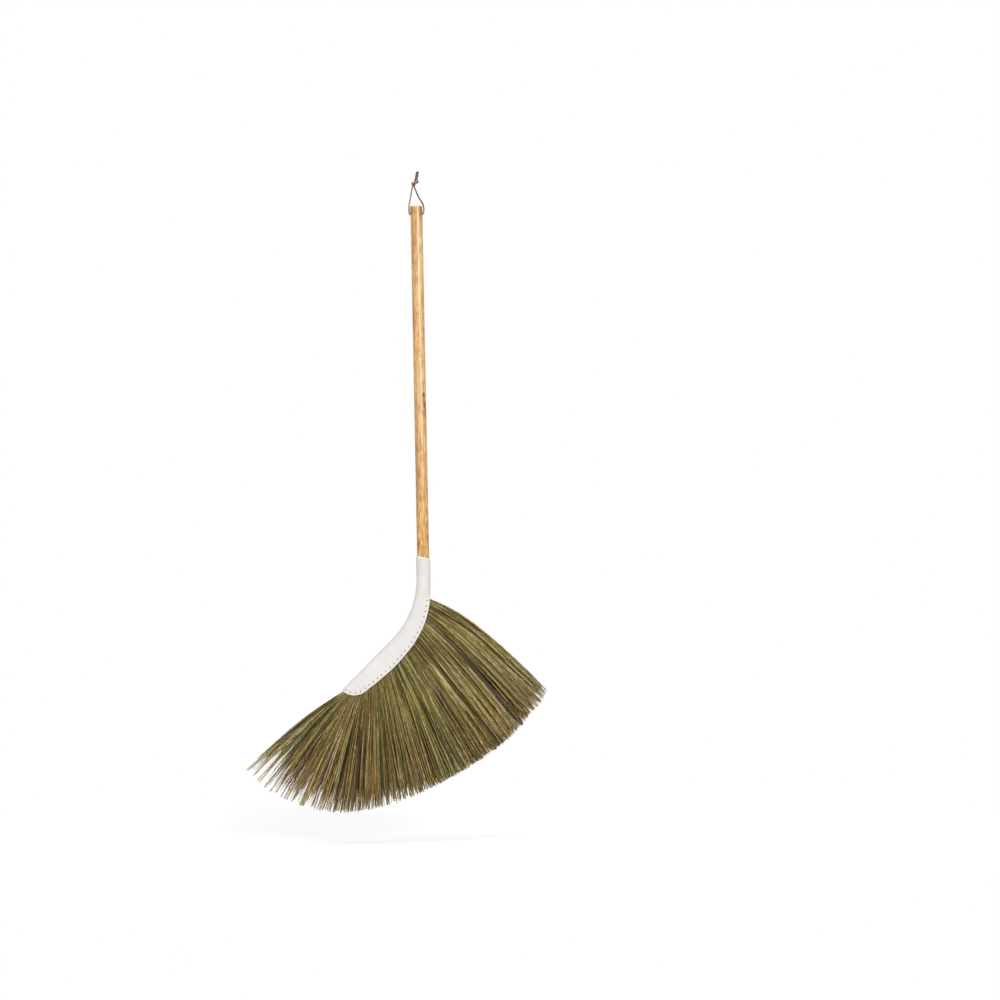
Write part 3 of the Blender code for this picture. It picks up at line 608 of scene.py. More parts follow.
def turn_handle():
    """The pole, its eased top and the tang under its shoulder."""
    top = HANDLE_TOP.z
    foot = top - HANDLE_LENGTH
    pick()
    bpy.ops.mesh.primitive_cylinder_add(
        vertices=72, radius=HANDLE_DIAMETER / 2, depth=HANDLE_LENGTH,
        location=(HANDLE_TOP.x, 0, top - HANDLE_LENGTH / 2),
    )
    handle = bpy.context.object
    handle.name = "turned_handle"
    bpy.ops.object.transform_apply(location=True)
    edit(handle)
    choose(handle, "FACE", lambda face: face.normal.z < -0.9)
    bpy.ops.mesh.inset(thickness=(HANDLE_DIAMETER - TANG_DIAMETER) / 2)
    bpy.ops.mesh.extrude_region_move(TRANSFORM_OT_translate={"value": (0, 0, -TANG_LENGTH)})
    for height, segments in ((top, 4), (foot - TANG_LENGTH, 2)):
        choose(handle, "EDGE", lambda edge: all(abs(v.co.z - height) < 1e-5 for v in edge.verts))
        bpy.ops.mesh.bevel(offset=HANDLE_EASING, segments=segments, affect="EDGES")
    bpy.ops.object.mode_set(mode="OBJECT")
    bore(handle, LACE_HOLE_DIAMETER, top - LACE_HOLE_DROP, (1, 0, 0))
    bore(handle, NAIL_HOLE_DIAMETER, foot - NAIL_DROP, (0, 1, 0))
    bpy.ops.object.shade_smooth_by_angle(angle=math.radians(35))
    return handle


def spot(place, middle, size):
    """1 at a place on the pole, falling to 0 over a size along each axis."""
    shift = place.vector("SUBTRACT", middle).stretched(*(1 / s for s in size))
    return 1 - shift.vector("LENGTH", outlet="Value").rise(0.25, 1.0)


def wood_finish():
    """Golden wood: growth lines, fine pores, flecks, a few knots, two pale patches of painted highlight at the
    front and a browner lower end.
    """
    material, place = mix_finish("golden_wood")
    z = place.part("Z")
    wander = place.stretched(40, 40, 7).cloud(1.0, 2)
    drift = wander.node("ShaderNodeCombineXYZ", None, {0: wander * 2.2, 1: wander * 1.2})
    growth = place.stretched(330, 210, 5.5).vector("ADD", drift).cloud(1.0, 3, 0.55)
    pores = place.stretched(2600, 2600, 52).cloud(1.0, 2, 0.6)
    flecks = place.stretched(900, 900, 130).cloud(1.0, 2, 0.5).rise(0.60, 0.70)
    mottle = place.stretched(240, 240, 60).cloud(1.0, 4, 0.6)
    blotch = place.stretched(60, 60, 11).cloud(1.0, 2)
    lower = (0 - z).rise(0.38, 0.62)
    top = z.rise(-0.085, -0.034)
    pale = growth.rise(0.30, 0.70).blend((0.62, 0.320, 0.092), (0.97, 0.610, 0.235))
    brown = growth.rise(0.30, 0.70).blend((0.56, 0.255, 0.038), (0.95, 0.520, 0.115))
    skin = lower.blend(pale, brown)
    skin = (blotch.rise(0.48, 0.68) * 0.55).blend(skin, (0.90, 0.585, 0.235))
    skin = (blotch.rise(0.46, 0.30) * 0.55).blend(skin, (0.44, 0.195, 0.048))
    skin = (mottle.rise(0.53, 0.38) * (0.55 + 0.40 * lower)).blend(skin, (0.40, 0.160, 0.030))
    skin = (mottle.rise(0.56, 0.70) * (0.50 + 0.45 * lower)).blend(skin, (0.98, 0.675, 0.270))
    skin = (pores.rise(0.48, 0.34) * 0.40).blend(skin, (0.30, 0.125, 0.035))
    skin = (flecks * 0.6).blend(skin, (0.25, 0.10, 0.035))
    skin = (top * 0.40).blend(skin, (0.50, 0.22, 0.060))
    for shift, size, strength, colour in WOOD_MARKS_AND_HIGHLIGHTS:
        skin = (spot(place, HANDLE_TOP + Vector(shift), size) * strength).blend(skin, colour)
    set_finish(
        material, skin, 0.42 + 0.16 * mottle, pores * 0.4 + mottle * 0.6, 0.00012,
        Coat_Weight=1.0, Coat_Roughness=0.29, Coat_IOR=1.6,
    )
    return material


handle = turn_handle()
handle.data.materials.append(wood_finish())
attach(handle, "broom")
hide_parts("handle")


# Stems, wire bindings and nail
# The grass stems are gathered along the sleeve's fold and round the handle's tang, pulled tight with two
# windings of steel wire, and held by one nail through the tang. All of it is hidden in the sleeve.

def straw_finish():
    """Dry straw: stems side by side, olive to tan."""
    material, place = mix_finish("bound_stems")
    stems = place.stretched(900, 900, 60).cloud(1.0, 3, 0.6)
    shade = stems.rise(0.3, 0.7).blend((0.13, 0.095, 0.035), (0.42, 0.33, 0.15))
    set_finish(material, shade, 0.7 + 0.2 * stems, stems, 0.0006)
    return material


def steel_finish():
    """Drawn steel wire, slightly dulled."""
    material, place = mix_finish("drawn_steel")
    drawn = place.cloud(1800, 3, 0.6)
    shade = drawn.rise(0.35, 0.7).blend((0.42, 0.42, 0.43), (0.62, 0.62, 0.63))
    set_finish(material, shade, 0.28 + 0.25 * drawn, drawn, 0.0001, Metallic=1.0)
    return material


straw, steel = straw_finish(), steel_finish()
for node, material in (("stem_core", straw), ("binding_wire_upper", steel),
                       ("binding_wire_lower", steel), ("handle_nail", steel)):
    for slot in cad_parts[node].material_slots:
        slot.material = material


# Sleeve
# One sheet of pale grey-white leather, folded lengthwise over the stems: a tube round the handle that
# opens into a shallow pocket along its convex edge, rounded off at the toe. Its cut edges are creamy, and
# its 25 pairs of stitch holes are punched through both walls.
LEATHER = 0.0012
SLEEVE_EASE = 0.0005
SLEEVE_LAP = 0.0203
MOUTH_SLANT = 0.0057
MOUTH_RISE = 0.0013
FOLD_STRAIGHT = 0.0355
FOLD_BEND_RADIUS = 0.1405
FOLD_BEND = math.radians(45.5)
FOLD_RUN = 0.1190
POCKET_WIDTH = 0.0349
POCKET_FOLD_RADIUS = 0.0090
POCKET_MOUTH_DEPTH = 0.0150
TOE_LENGTH = 0.0280
TOE_LAST_TURN = math.radians(86.5)
OPENING_START = 0.0450
OPENING_LENGTH = 0.0340
STITCH_COUNT = 25
STITCH_START = 0.0755
STITCH_END = 0.0030
STITCH_INSET = 0.0046
STITCH_HOLE_LENGTH = 0.0031
STITCH_HOLE_WIDTH = 0.0015
STITCH_DIP = 0.00035
GROOVE_WIDTH, DIMPLE_WIDTH = 0.0017, 0.0024
PUNCH_REACH = 0.040
MOUTH_REACH = 0.012
WALL_WAVE = 0.00022
CUT_EASING = 0.00032
SWELL_SHARES = (
    (0.00, 0.00), (0.15, 0.00), (0.28, 0.30), (0.36, 0.51), (0.45, 0.69), (0.53, 0.84),
    (0.64, 1.00), (0.70, 0.98), (0.76, 0.87), (0.82, 0.74), (0.89, 0.52), (1.00, 0.40),
)
TOE_THIN_SHARES = ((0.00, 1.00), (0.70, 1.00), (0.88, 0.86), (1.00, 0.56))
HEADING_SHARES = (
    (0.00, 38.2), (0.14, 47.9), (0.33, 55.7), (0.50, 67.0),
    (0.66, 80.5), (0.81, 97.0), (0.91, 117.0), (1.00, 140.5),
)
DROOP_SHARES = ((0.00, 17.0), (0.14, 7.0), (0.33, 3.0), (0.81, 0.0), (1.00, -10.0))
SLEEVE_ROWS, TOE_ROWS, SLEEVE_COLUMNS = 110, 18, 24
EDGE_STEPS = 400
TUBE_RADIUS = HANDLE_DIAMETER / 2 + SLEEVE_EASE + LEATHER
SLEEVE_DROP = HANDLE_LENGTH - SLEEVE_LAP
FOLD_LENGTH = FOLD_STRAIGHT + FOLD_BEND_RADIUS * FOLD_BEND + FOLD_RUN


def smooth(table, x):
    """A smooth curve through the table's points that never overshoots them, read at x."""
    xs, ys = zip(*table)
    steps = [(b - a) / (d - c) for a, b, c, d in zip(ys, ys[1:], xs, xs[1:])]
    inner = [2 * a * b / (a + b) if a * b > 0 else 0 for a, b in zip(steps, steps[1:])]
    slopes = [steps[0], *inner, steps[-1]]
    i = min(max(int(np.searchsorted(xs, x)) - 1, 0), len(xs) - 2)
    span = xs[i + 1] - xs[i]
    u = min(max((x - xs[i]) / span, 0), 1)
    return float(between(u, *ys[i:i + 2], *slopes[i:i + 2], span))


def fold_at(length):
    """The point on the fold at this length from the mouth, and its heading."""
    turn = min(max(length - FOLD_STRAIGHT, 0) / FOLD_BEND_RADIUS, FOLD_BEND)
    run = max(length - FOLD_STRAIGHT - FOLD_BEND_RADIUS * FOLD_BEND, 0)
    heading = Vector((-math.sin(turn), 0, -math.cos(turn)))
    x = HANDLE_TOP.x - TUBE_RADIUS - FOLD_BEND_RADIUS * (1 - math.cos(turn))
    z = HANDLE_TOP.z - SLEEVE_DROP - min(length, FOLD_STRAIGHT) - FOLD_BEND_RADIUS * math.sin(turn)
    return Vector((x, 0, z)) + heading * run, heading


def outward(heading):
    """Square to the heading, towards the open edge."""
    return Vector((-heading.z, 0, heading.x))


def sleeve_width(length):
    """From the fold to the open edge, with the toe rounded like an ellipse."""
    swell = smooth(SWELL_SHARES, length / FOLD_LENGTH)
    width = 2 * TUBE_RADIUS + (POCKET_WIDTH - 2 * TUBE_RADIUS) * swell
    toe = max(length - (FOLD_LENGTH - TOE_LENGTH), 0) / TOE_LENGTH
    return width * math.sqrt(max(1 - toe * toe, 0))


def wall_point(length, share):
    """A point of the sleeve's outer side: its distance from the fold and half the depth there."""
    width = sleeve_width(length)
    turn = math.pi * share
    tube_point = (width / 2 * (1 - math.cos(turn)), width / 2 * math.sin(turn))
    radius = POCKET_FOLD_RADIUS * smooth(TOE_THIN_SHARES, length / FOLD_LENGTH)
    mouth = radius * POCKET_MOUTH_DEPTH / (2 * POCKET_FOLD_RADIUS)
    across = width * (1 - math.cos(turn / 2))
    if across < radius:
        depth = math.sqrt(radius ** 2 - (radius - across) ** 2)
    else:
        depth = radius - (radius - mouth) * (across - radius) / (POCKET_WIDTH - radius)
    opened = eased(length, OPENING_START, OPENING_START + OPENING_LENGTH)
    reach = tube_point[0] + (across - tube_point[0]) * opened
    half = tube_point[1] + (depth - tube_point[1]) * opened
    return reach, max(half, 0.0003) if share > 0 else 0.0


def last_where(test, high, rounds):
    """The last value from 0 to high that passes the test, found by halving."""
    low = 0.0
    for _ in range(rounds):
        middle = (low + high) / 2
        low, high = (middle, high) if test(middle) else (low, middle)
    return low


def half_depth(length, across):
    """Half the sleeve's outer depth, at this distance from the fold."""
    return wall_point(length, last_where(lambda share: wall_point(length, share)[0] < across, 1.0, 20))[1]


def past_fold(point, length):
    """How far a point lies past this length on the fold, and how far out from it."""
    place, heading = fold_at(length)
    return (point - place).dot(heading), (point - place).dot(outward(heading))


def fold_place(point):
    """Where a point lies: its length along the fold and its distance from it."""
    length = last_where(lambda s: past_fold(point, s)[0] > 0, FOLD_LENGTH, 32)
    return length, past_fold(point, length)[1]


FOLD_STEPS = [FOLD_LENGTH * (1 - (1 - i / EDGE_STEPS) ** 2) for i in range(EDGE_STEPS + 1)]
EDGE_POINTS = [fold_at(s)[0] + outward(fold_at(s)[1]) * sleeve_width(s) for s in FOLD_STEPS]
EDGE_LENGTHS = path_lengths(EDGE_POINTS)


def edge_at(length):
    """The point on the open edge at this length along it, and the direction out of the sleeve."""
    step = EDGE_LENGTHS[-1] / EDGE_STEPS
    around = []
    for s in (length - step, length, length + step):
        x, z = (np.interp(s, EDGE_LENGTHS, [p[axis] for p in EDGE_POINTS]) for axis in (0, 2))
        around.append(Vector((x, 0, z)))
    return around[1], outward((around[2] - around[0]).normalized())


def way(degrees):
    """The direction in the fan's plane, or many directions, so many degrees below +X."""
    turn = np.radians(degrees)
    return np.stack([np.cos(turn), np.zeros_like(turn), -np.sin(turn)], axis=-1)


def stitch_length(share):
    """The length along the open edge at a share of the sewn stretch."""
    return STITCH_START + (EDGE_LENGTHS[-1] - STITCH_END - STITCH_START) * share


def root_direction(share):
    """The way that the grass leaves the sleeve."""
    return Vector(way(smooth(HEADING_SHARES, share) - smooth(DROOP_SHARES, share)))


def stitch_place(share):
    """The middle of a stitch hole, on the line of the grass inside the open edge."""
    point, out = edge_at(stitch_length(share))
    line = root_direction(share)
    return point - line * (STITCH_INSET / line.dot(out))


STITCH_SHARES = [i / (STITCH_COUNT - 1) for i in range(STITCH_COUNT)]
STITCHES = [stitch_place(share) for share in STITCH_SHARES]


def seam_dip(point):
    """How far the stitching pulls the wall in at a point, most at the holes."""
    flat = Vector((point.x, 0, point.z))
    hole = line = min((place - flat).length for place in STITCHES)
    for start, end in zip(STITCHES, STITCHES[1:]):
        run = end - start
        u = min(max((flat - start).dot(run) / run.length_squared, 0), 1)
        line = min(line, (start + run * u - flat).length)
    groove, dimple = math.exp(-(line / GROOVE_WIDTH) ** 2), math.exp(-(hole / DIMPLE_WIDTH) ** 2)
    return STITCH_DIP * (0.55 * groove + 0.45 * dimple)


def fold_sleeve():
    """The sheet's outer side as a grid, then its thickness and its eased cut edges."""
    toe = FOLD_LENGTH - TOE_LENGTH
    stations = [s for s in np.linspace(0, FOLD_LENGTH, SLEEVE_ROWS + 1) if s < toe - 0.001]
    stations += [toe + TOE_LENGTH * math.sin(TOE_LAST_TURN * i / TOE_ROWS) for i in range(TOE_ROWS + 1)]
    shares = [i / SLEEVE_COLUMNS for i in range(-SLEEVE_COLUMNS, SLEEVE_COLUMNS + 1)]
    points = []
    for length in stations:
        place, heading = fold_at(length)
        width = sleeve_width(length)
        near_mouth = max(1 - length / MOUTH_REACH, 0)
        for share in shares:
            reach, half = wall_point(length, abs(share))
            point = place + outward(heading) * reach
            point.z += near_mouth * (MOUTH_RISE - MOUTH_SLANT * reach / width)
            if half > 0.004 and length > OPENING_START:
                half += WALL_WAVE * noise.noise(Vector((length * 38, share * 2.2, 3.0))) - seam_dip(point)
            point.y = math.copysign(half, share)
            points.append(point)
    columns = len(shares)
    faces = [(i * columns + j, i * columns + j + 1, (i + 1) * columns + j + 1, (i + 1) * columns + j)
             for i in range(len(stations) - 1) for j in range(columns - 1)]
    sleeve = new_piece("folded_sleeve", points, faces)
    for _ in range(2):
        sleeve.data.materials.append(None)
    modify(sleeve, "SOLIDIFY", thickness=LEATHER, offset=-1, use_even_offset=True, material_offset_rim=1)
    modify(
        sleeve, "BEVEL", width=CUT_EASING, segments=2, limit_method="ANGLE", angle_limit=math.radians(60)
    )
    return sleeve


def punch(sleeve):
    """Slots along the grass, right through both walls."""
    shape = bmesh.new()
    for share, place in zip(STITCH_SHARES, STITCHES):
        line = root_direction(share)
        sides = (line * STITCH_HOLE_LENGTH, outward(line) * STITCH_HOLE_WIDTH, Vector((0, PUNCH_REACH, 0)))
        seat = Matrix.Translation(place) @ Matrix(sides).transposed().to_4x4()
        bmesh.ops.create_cone(
            shape, cap_ends=True, segments=12, radius1=0.5, radius2=0.5, depth=1, matrix=seat
        )
    tool = new_piece("punch", [], [])
    shape.to_mesh(tool.data)
    shape.free()
    outwards(tool)
    cut_out(sleeve, tool)
    bpy.ops.object.shade_smooth_by_angle(angle=math.radians(48))


def hide_finish(name, colour, shadow, rough):
    """Pale leather: a fine pebbled grain, faint clouds of tone and a satin finish."""
    material, place = mix_finish(name)
    grain = place.node("ShaderNodeTexVoronoi", {"feature": "SMOOTH_F1"}, {
        "Vector": place, "Scale": 1150, "Smoothness": 0.6, "Randomness": 1.0,
    })
    wrinkle = place.cloud(210, 4, 0.6)
    tone = place.cloud(38, 3, 0.55)
    skin = tone.rise(0.35, 0.70).blend(shadow, colour)
    skin = (grain.rise(0.35, 0.75) * 0.25).blend(skin, tuple(0.82 * c for c in shadow))
    slant = MOUTH_SLANT / (2 * TUBE_RADIUS)
    mouth = place.part("Z") + place.part("X") * slant
    lip = HANDLE_TOP.z - SLEEVE_DROP + MOUTH_RISE + (HANDLE_TOP.x - TUBE_RADIUS) * slant
    skin = mouth.rise(lip - 0.0024, lip - 0.0016).blend(skin, (0.94, 0.86, 0.74))
    set_finish(material, skin, rough + 0.12 * wrinkle, grain * 0.5 + wrinkle * 0.7, 0.00018)
    return material


sleeve = fold_sleeve()
punch(sleeve)
pale_hide = hide_finish("pale_hide", (0.790, 0.768, 0.730), (0.735, 0.714, 0.678), 0.46)
cut_hide = hide_finish("cut_hide_edge", (0.93, 0.89, 0.79), (0.86, 0.81, 0.70), 0.80)
for slot, material in zip(sleeve.material_slots, (pale_hide, cut_hide)):
    slot.material = material
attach(sleeve, "broom")
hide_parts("sleeve")


# Grass
# A bunch of dry broom grass goes between each two stitch holes and spreads into a fan trimmed to one curve.
# It is made of plumes, each a few fine strands of one colour, olive, straw, golden or brown. Their ends
# gather into locks and fray out, most at the toe.
FAN_DEPTH = 0.0440
FAN_LENGTH = 0.2500
FAN_STEPS = 250
BEND_SHARE = 0.35
ROOT_SINK = 0.0085
EDGE_INSET = 0.0010
HEEL_OVERHANG = 0.018
PLUME_LAYERS = 6
PLUMES_A_LAYER = 15
STRANDS_A_PLUME = 5
PLUME_SPREAD = 0.0008
LOOSE_HAIRS = 40
LOCK_SEED, PLUME_SEED = 71, 400
LOCK_WIDTHS = (0.007, 0.022)
FINE_LOCK_START = 0.80
WISPY_HEEL, WISPY_TOE = 0.08, 0.86
TOE_START, TOE_SPREAD = 0.88, 2.3
EDGE_SHARE = 0.05
# Painted shade: a share of plumes is made near black, standing for the dark gaps between strands.
DARK_GAP_SHADE_SHARE, OWN_KIND_SHARE = 0.18, 0.65
PLUME_LEAN = 1.25
PLUME_SWAY = (0.0011, 0.0050, 0.0011)
STRAND_WAVER = 0.00022
STRAND_RADII, HAIR_RADII = (0.00036, 0.00062), (0.00022, 0.00034)
FACET_SHIFT = 1 / 1200
STRAND_RINGS = (-1.0, 0.0, 0.10, 0.20, 0.31, 0.43, 0.55, 0.67, 0.79, 0.90, 1.0)
STRAND_TAPER = (0.80, 0.85, 0.95, 1.0, 1.0, 1.0, 0.98, 0.95, 0.90, 0.80, 0.60)
LENGTH_SHARES = (
    (0.00, 0.990), (0.05, 0.982), (0.10, 0.958), (0.20, 0.935), (0.30, 0.903), (0.40, 0.875),
    (0.50, 0.850), (0.60, 0.835), (0.70, 0.829), (0.80, 0.821), (0.88, 0.818), (1.00, 0.845),
)
TONE_SHARES = (
    (0.00, 0.62), (0.08, 0.61), (0.20, 0.53), (0.31, 0.45), (0.40, 0.42), (0.52, 0.43),
    (0.66, 0.46), (0.76, 0.47), (0.82, 0.50), (0.90, 0.55), (1.00, 0.55),
)
GREEN_SHARES = ((0.00, 0.15), (0.20, 0.25), (0.45, 0.35), (0.70, 0.50), (0.83, 0.30), (1.00, 0.10))
GOLDEN_SHARES = ((0.00, 0.28), (0.20, 0.24), (0.45, 0.24), (0.66, 0.20), (0.82, 0.48), (1.00, 0.60))
BROWN_SHARES = ((0.00, 0.02), (0.20, 0.03), (0.66, 0.04), (0.84, 0.12), (1.00, 0.05))
FRAY_SHARES = (
    (0.00, 0.24), (0.05, 0.17), (0.12, 0.10), (0.30, 0.08), (0.50, 0.09), (0.60, 0.15), (0.72, 0.23),
    (0.88, 0.30), (0.95, 0.38), (0.972, 0.62), (0.985, 0.42), (1.00, 0.42),
)
SPARSE_SHARES = (
    (0.00, 0.75), (0.06, 0.60), (0.16, 0.30), (0.40, 0.25), (0.54, 0.45), (0.70, 0.55),
    (0.80, 0.55), (0.90, 0.65), (0.95, 0.90), (1.00, 0.85),
)
OLIVE, STRAW, GOLDEN, BROWN = 0.0, 0.25, 0.50, 0.75
STAIN_SHARE, STAIN_SPREAD = 0.142, 0.0080
GRASS_COLOURS = (
    (0.010, (0.034, 0.027, 0.005)), (0.070, (0.125, 0.113, 0.030)), (0.125, (0.275, 0.240, 0.072)),
    (0.180, (0.455, 0.392, 0.140)), (0.240, (0.660, 0.590, 0.290)),
    (0.260, (0.042, 0.028, 0.005)), (0.320, (0.150, 0.118, 0.030)), (0.375, (0.310, 0.248, 0.078)),
    (0.430, (0.500, 0.400, 0.150)), (0.490, (0.760, 0.640, 0.350)),
    (0.510, (0.050, 0.028, 0.004)), (0.570, (0.175, 0.114, 0.026)), (0.625, (0.335, 0.246, 0.070)),
    (0.680, (0.530, 0.402, 0.145)), (0.740, (0.790, 0.630, 0.320)),
    (0.760, (0.036, 0.024, 0.021)), (0.820, (0.085, 0.056, 0.052)), (0.875, (0.240, 0.160, 0.085)),
    (0.930, (0.390, 0.275, 0.155)), (0.990, (0.570, 0.440, 0.290)),
)
TIP_COLOURS = (
    (0.010, (0.070, 0.055, 0.016)), (0.125, (0.300, 0.270, 0.095)), (0.240, (0.620, 0.570, 0.300)),
    (0.260, (0.085, 0.055, 0.016)), (0.375, (0.400, 0.300, 0.105)), (0.490, (0.780, 0.660, 0.380)),
    (0.510, (0.100, 0.052, 0.012)), (0.625, (0.480, 0.300, 0.085)), (0.740, (0.820, 0.640, 0.330)),
    (0.760, (0.085, 0.050, 0.030)), (0.875, (0.300, 0.190, 0.120)), (0.990, (0.560, 0.440, 0.320)),
)

FAN_SHARES = np.linspace(-HEEL_OVERHANG, 1, FAN_STEPS + 1)
FAN_EDGE = np.array([edge_at(stitch_length(s))[0] for s in FAN_SHARES])
FAN_OUT = np.array([edge_at(stitch_length(s))[1] for s in FAN_SHARES])
FAN_HEADING, FAN_DROOP, FAN_REACH, FAN_TONE, FAN_SPARSE, FAN_FRAY = (
    np.array([smooth(table, s) for s in FAN_SHARES])
    for table in (HEADING_SHARES, DROOP_SHARES, LENGTH_SHARES, TONE_SHARES, SPARSE_SHARES, FRAY_SHARES)
)
FAN_HALF = np.array([
    half_depth(*fold_place(Vector(edge - 0.006 * out))) - LEATHER - 0.0006
    for edge, out in zip(FAN_EDGE, FAN_OUT)
])


def pick_kind(dice, share):
    """The colour of a lock or plume: olive, straw, golden or brown, by what is usual at its place."""
    chances = [smooth(table, share) for table in (GREEN_SHARES, GOLDEN_SHARES, BROWN_SHARES)]
    return dice.choice([OLIVE, GOLDEN, BROWN, STRAW], p=[*chances, 1 - sum(chances)])


def cut_locks(dice):
    """The fan parted into locks of uneven width, finer at the toe, with their lengths, tones and colours."""
    limits = [-HEEL_OVERHANG]
    while limits[-1] < 1:
        limits.append(limits[-1] + dice.uniform(*LOCK_WIDTHS) * (1 if limits[-1] < FINE_LOCK_START else 0.65))
    limits = np.array(limits)
    middles = limits[:-1] + np.diff(limits) * dice.uniform(0.3, 0.7, len(limits) - 1)
    return {
        "limits": limits[1:-1], "middle": middles, "length": dice.random(len(middles)),
        "tone": dice.normal(0, 1, len(middles)), "pull": dice.uniform(0.2, 1.0, len(middles)),
        "kind": np.array([pick_kind(dice, m) for m in middles]),
    }


LOCKS = cut_locks(np.random.default_rng(LOCK_SEED))


def read_fan(table, shares):
    """A fan table at many shares at once."""
    if table.ndim == 1:
        return np.interp(shares, FAN_SHARES, table)
    return np.stack([np.interp(shares, FAN_SHARES, table[:, k]) for k in range(table.shape[1])], axis=1)


def fan_tips(shares, tip_depth, reach, lean):
    """Where strands of this reach start, bend and end, and the way that they leave the sleeve."""
    heading = read_fan(FAN_HEADING, shares) + lean
    line = way(read_fan(FAN_HEADING, shares) - read_fan(FAN_DROOP, shares))
    out = read_fan(FAN_OUT, shares)
    inset = EDGE_INSET / np.sum(line * out, axis=1, keepdims=True)
    start = read_fan(FAN_EDGE, shares) - line * inset
    bend = start + line * (reach * BEND_SHARE)[:, None]
    tip = start + way(heading) * reach[:, None]
    tip[:, 1] = tip_depth
    return start, bend, tip, line


def wispy(shares):
    """1 at the fan's two ends, where it thins out, and 0 over its middle."""
    heel, toe = (WISPY_HEEL - shares) / WISPY_HEEL, (shares - WISPY_TOE) / (1 - WISPY_TOE)
    return np.clip(heel, 0, 1) + np.clip(toe, 0, 1)


def pick_plumes(dice, first, second):
    """One bunch's plumes, spaced evenly in each layer from front to back, with their tones and waves."""
    step = second - first
    low = first - (HEEL_OVERHANG if first == 0 else 0)
    layer, place = np.divmod(np.arange(PLUME_LAYERS * PLUMES_A_LAYER), PLUMES_A_LAYER)
    count = len(layer)
    middle = low + (place + dice.uniform(0, 1, count)) / PLUMES_A_LAYER * (second - low)
    middle = np.clip(middle + dice.normal(0, 0.06 * step, count), -HEEL_OVERHANG, 1)
    lock = np.searchsorted(LOCKS["limits"], middle)
    tone = read_fan(FAN_TONE, middle) + 0.02 * LOCKS["tone"][lock] + dice.normal(0, 0.15, count)
    # Painted shade: near-black plumes for the dark gaps between strands.
    dark = dice.random(count) < DARK_GAP_SHADE_SHARE
    tone[dark] = dice.uniform(0.05, 0.24, dark.sum())
    pale = dice.random(count) < 0.05 + 0.07 * wispy(middle)
    tone[pale] = dice.uniform(0.78, 0.95, pale.sum())
    own = dice.random(count) < OWN_KIND_SHARE
    kind = LOCKS["kind"][lock].copy()
    kind[own] = [pick_kind(dice, m) for m in middle[own]]
    row = -1 + (layer + dice.uniform(0, 1, count)) * 2 / PLUME_LAYERS
    stained = (np.abs(middle - STAIN_SHARE) < STAIN_SPREAD) & (row < 0.1)
    tone[stained] = dice.uniform(0.08, 0.30, stained.sum())
    kind[stained] = BROWN
    lean = dice.normal(0, PLUME_LEAN, count)
    sway = dice.normal(0, 1, (2, count, 3))
    lean[stained] *= 0.3
    sway[:, stained] *= 0.3
    return {
        "middle": middle, "row": row, "tone": np.clip(tone, 0.02, 0.97), "kind": kind,
        "lean": lean, "sway": sway, "cut": dice.random(count),
    }


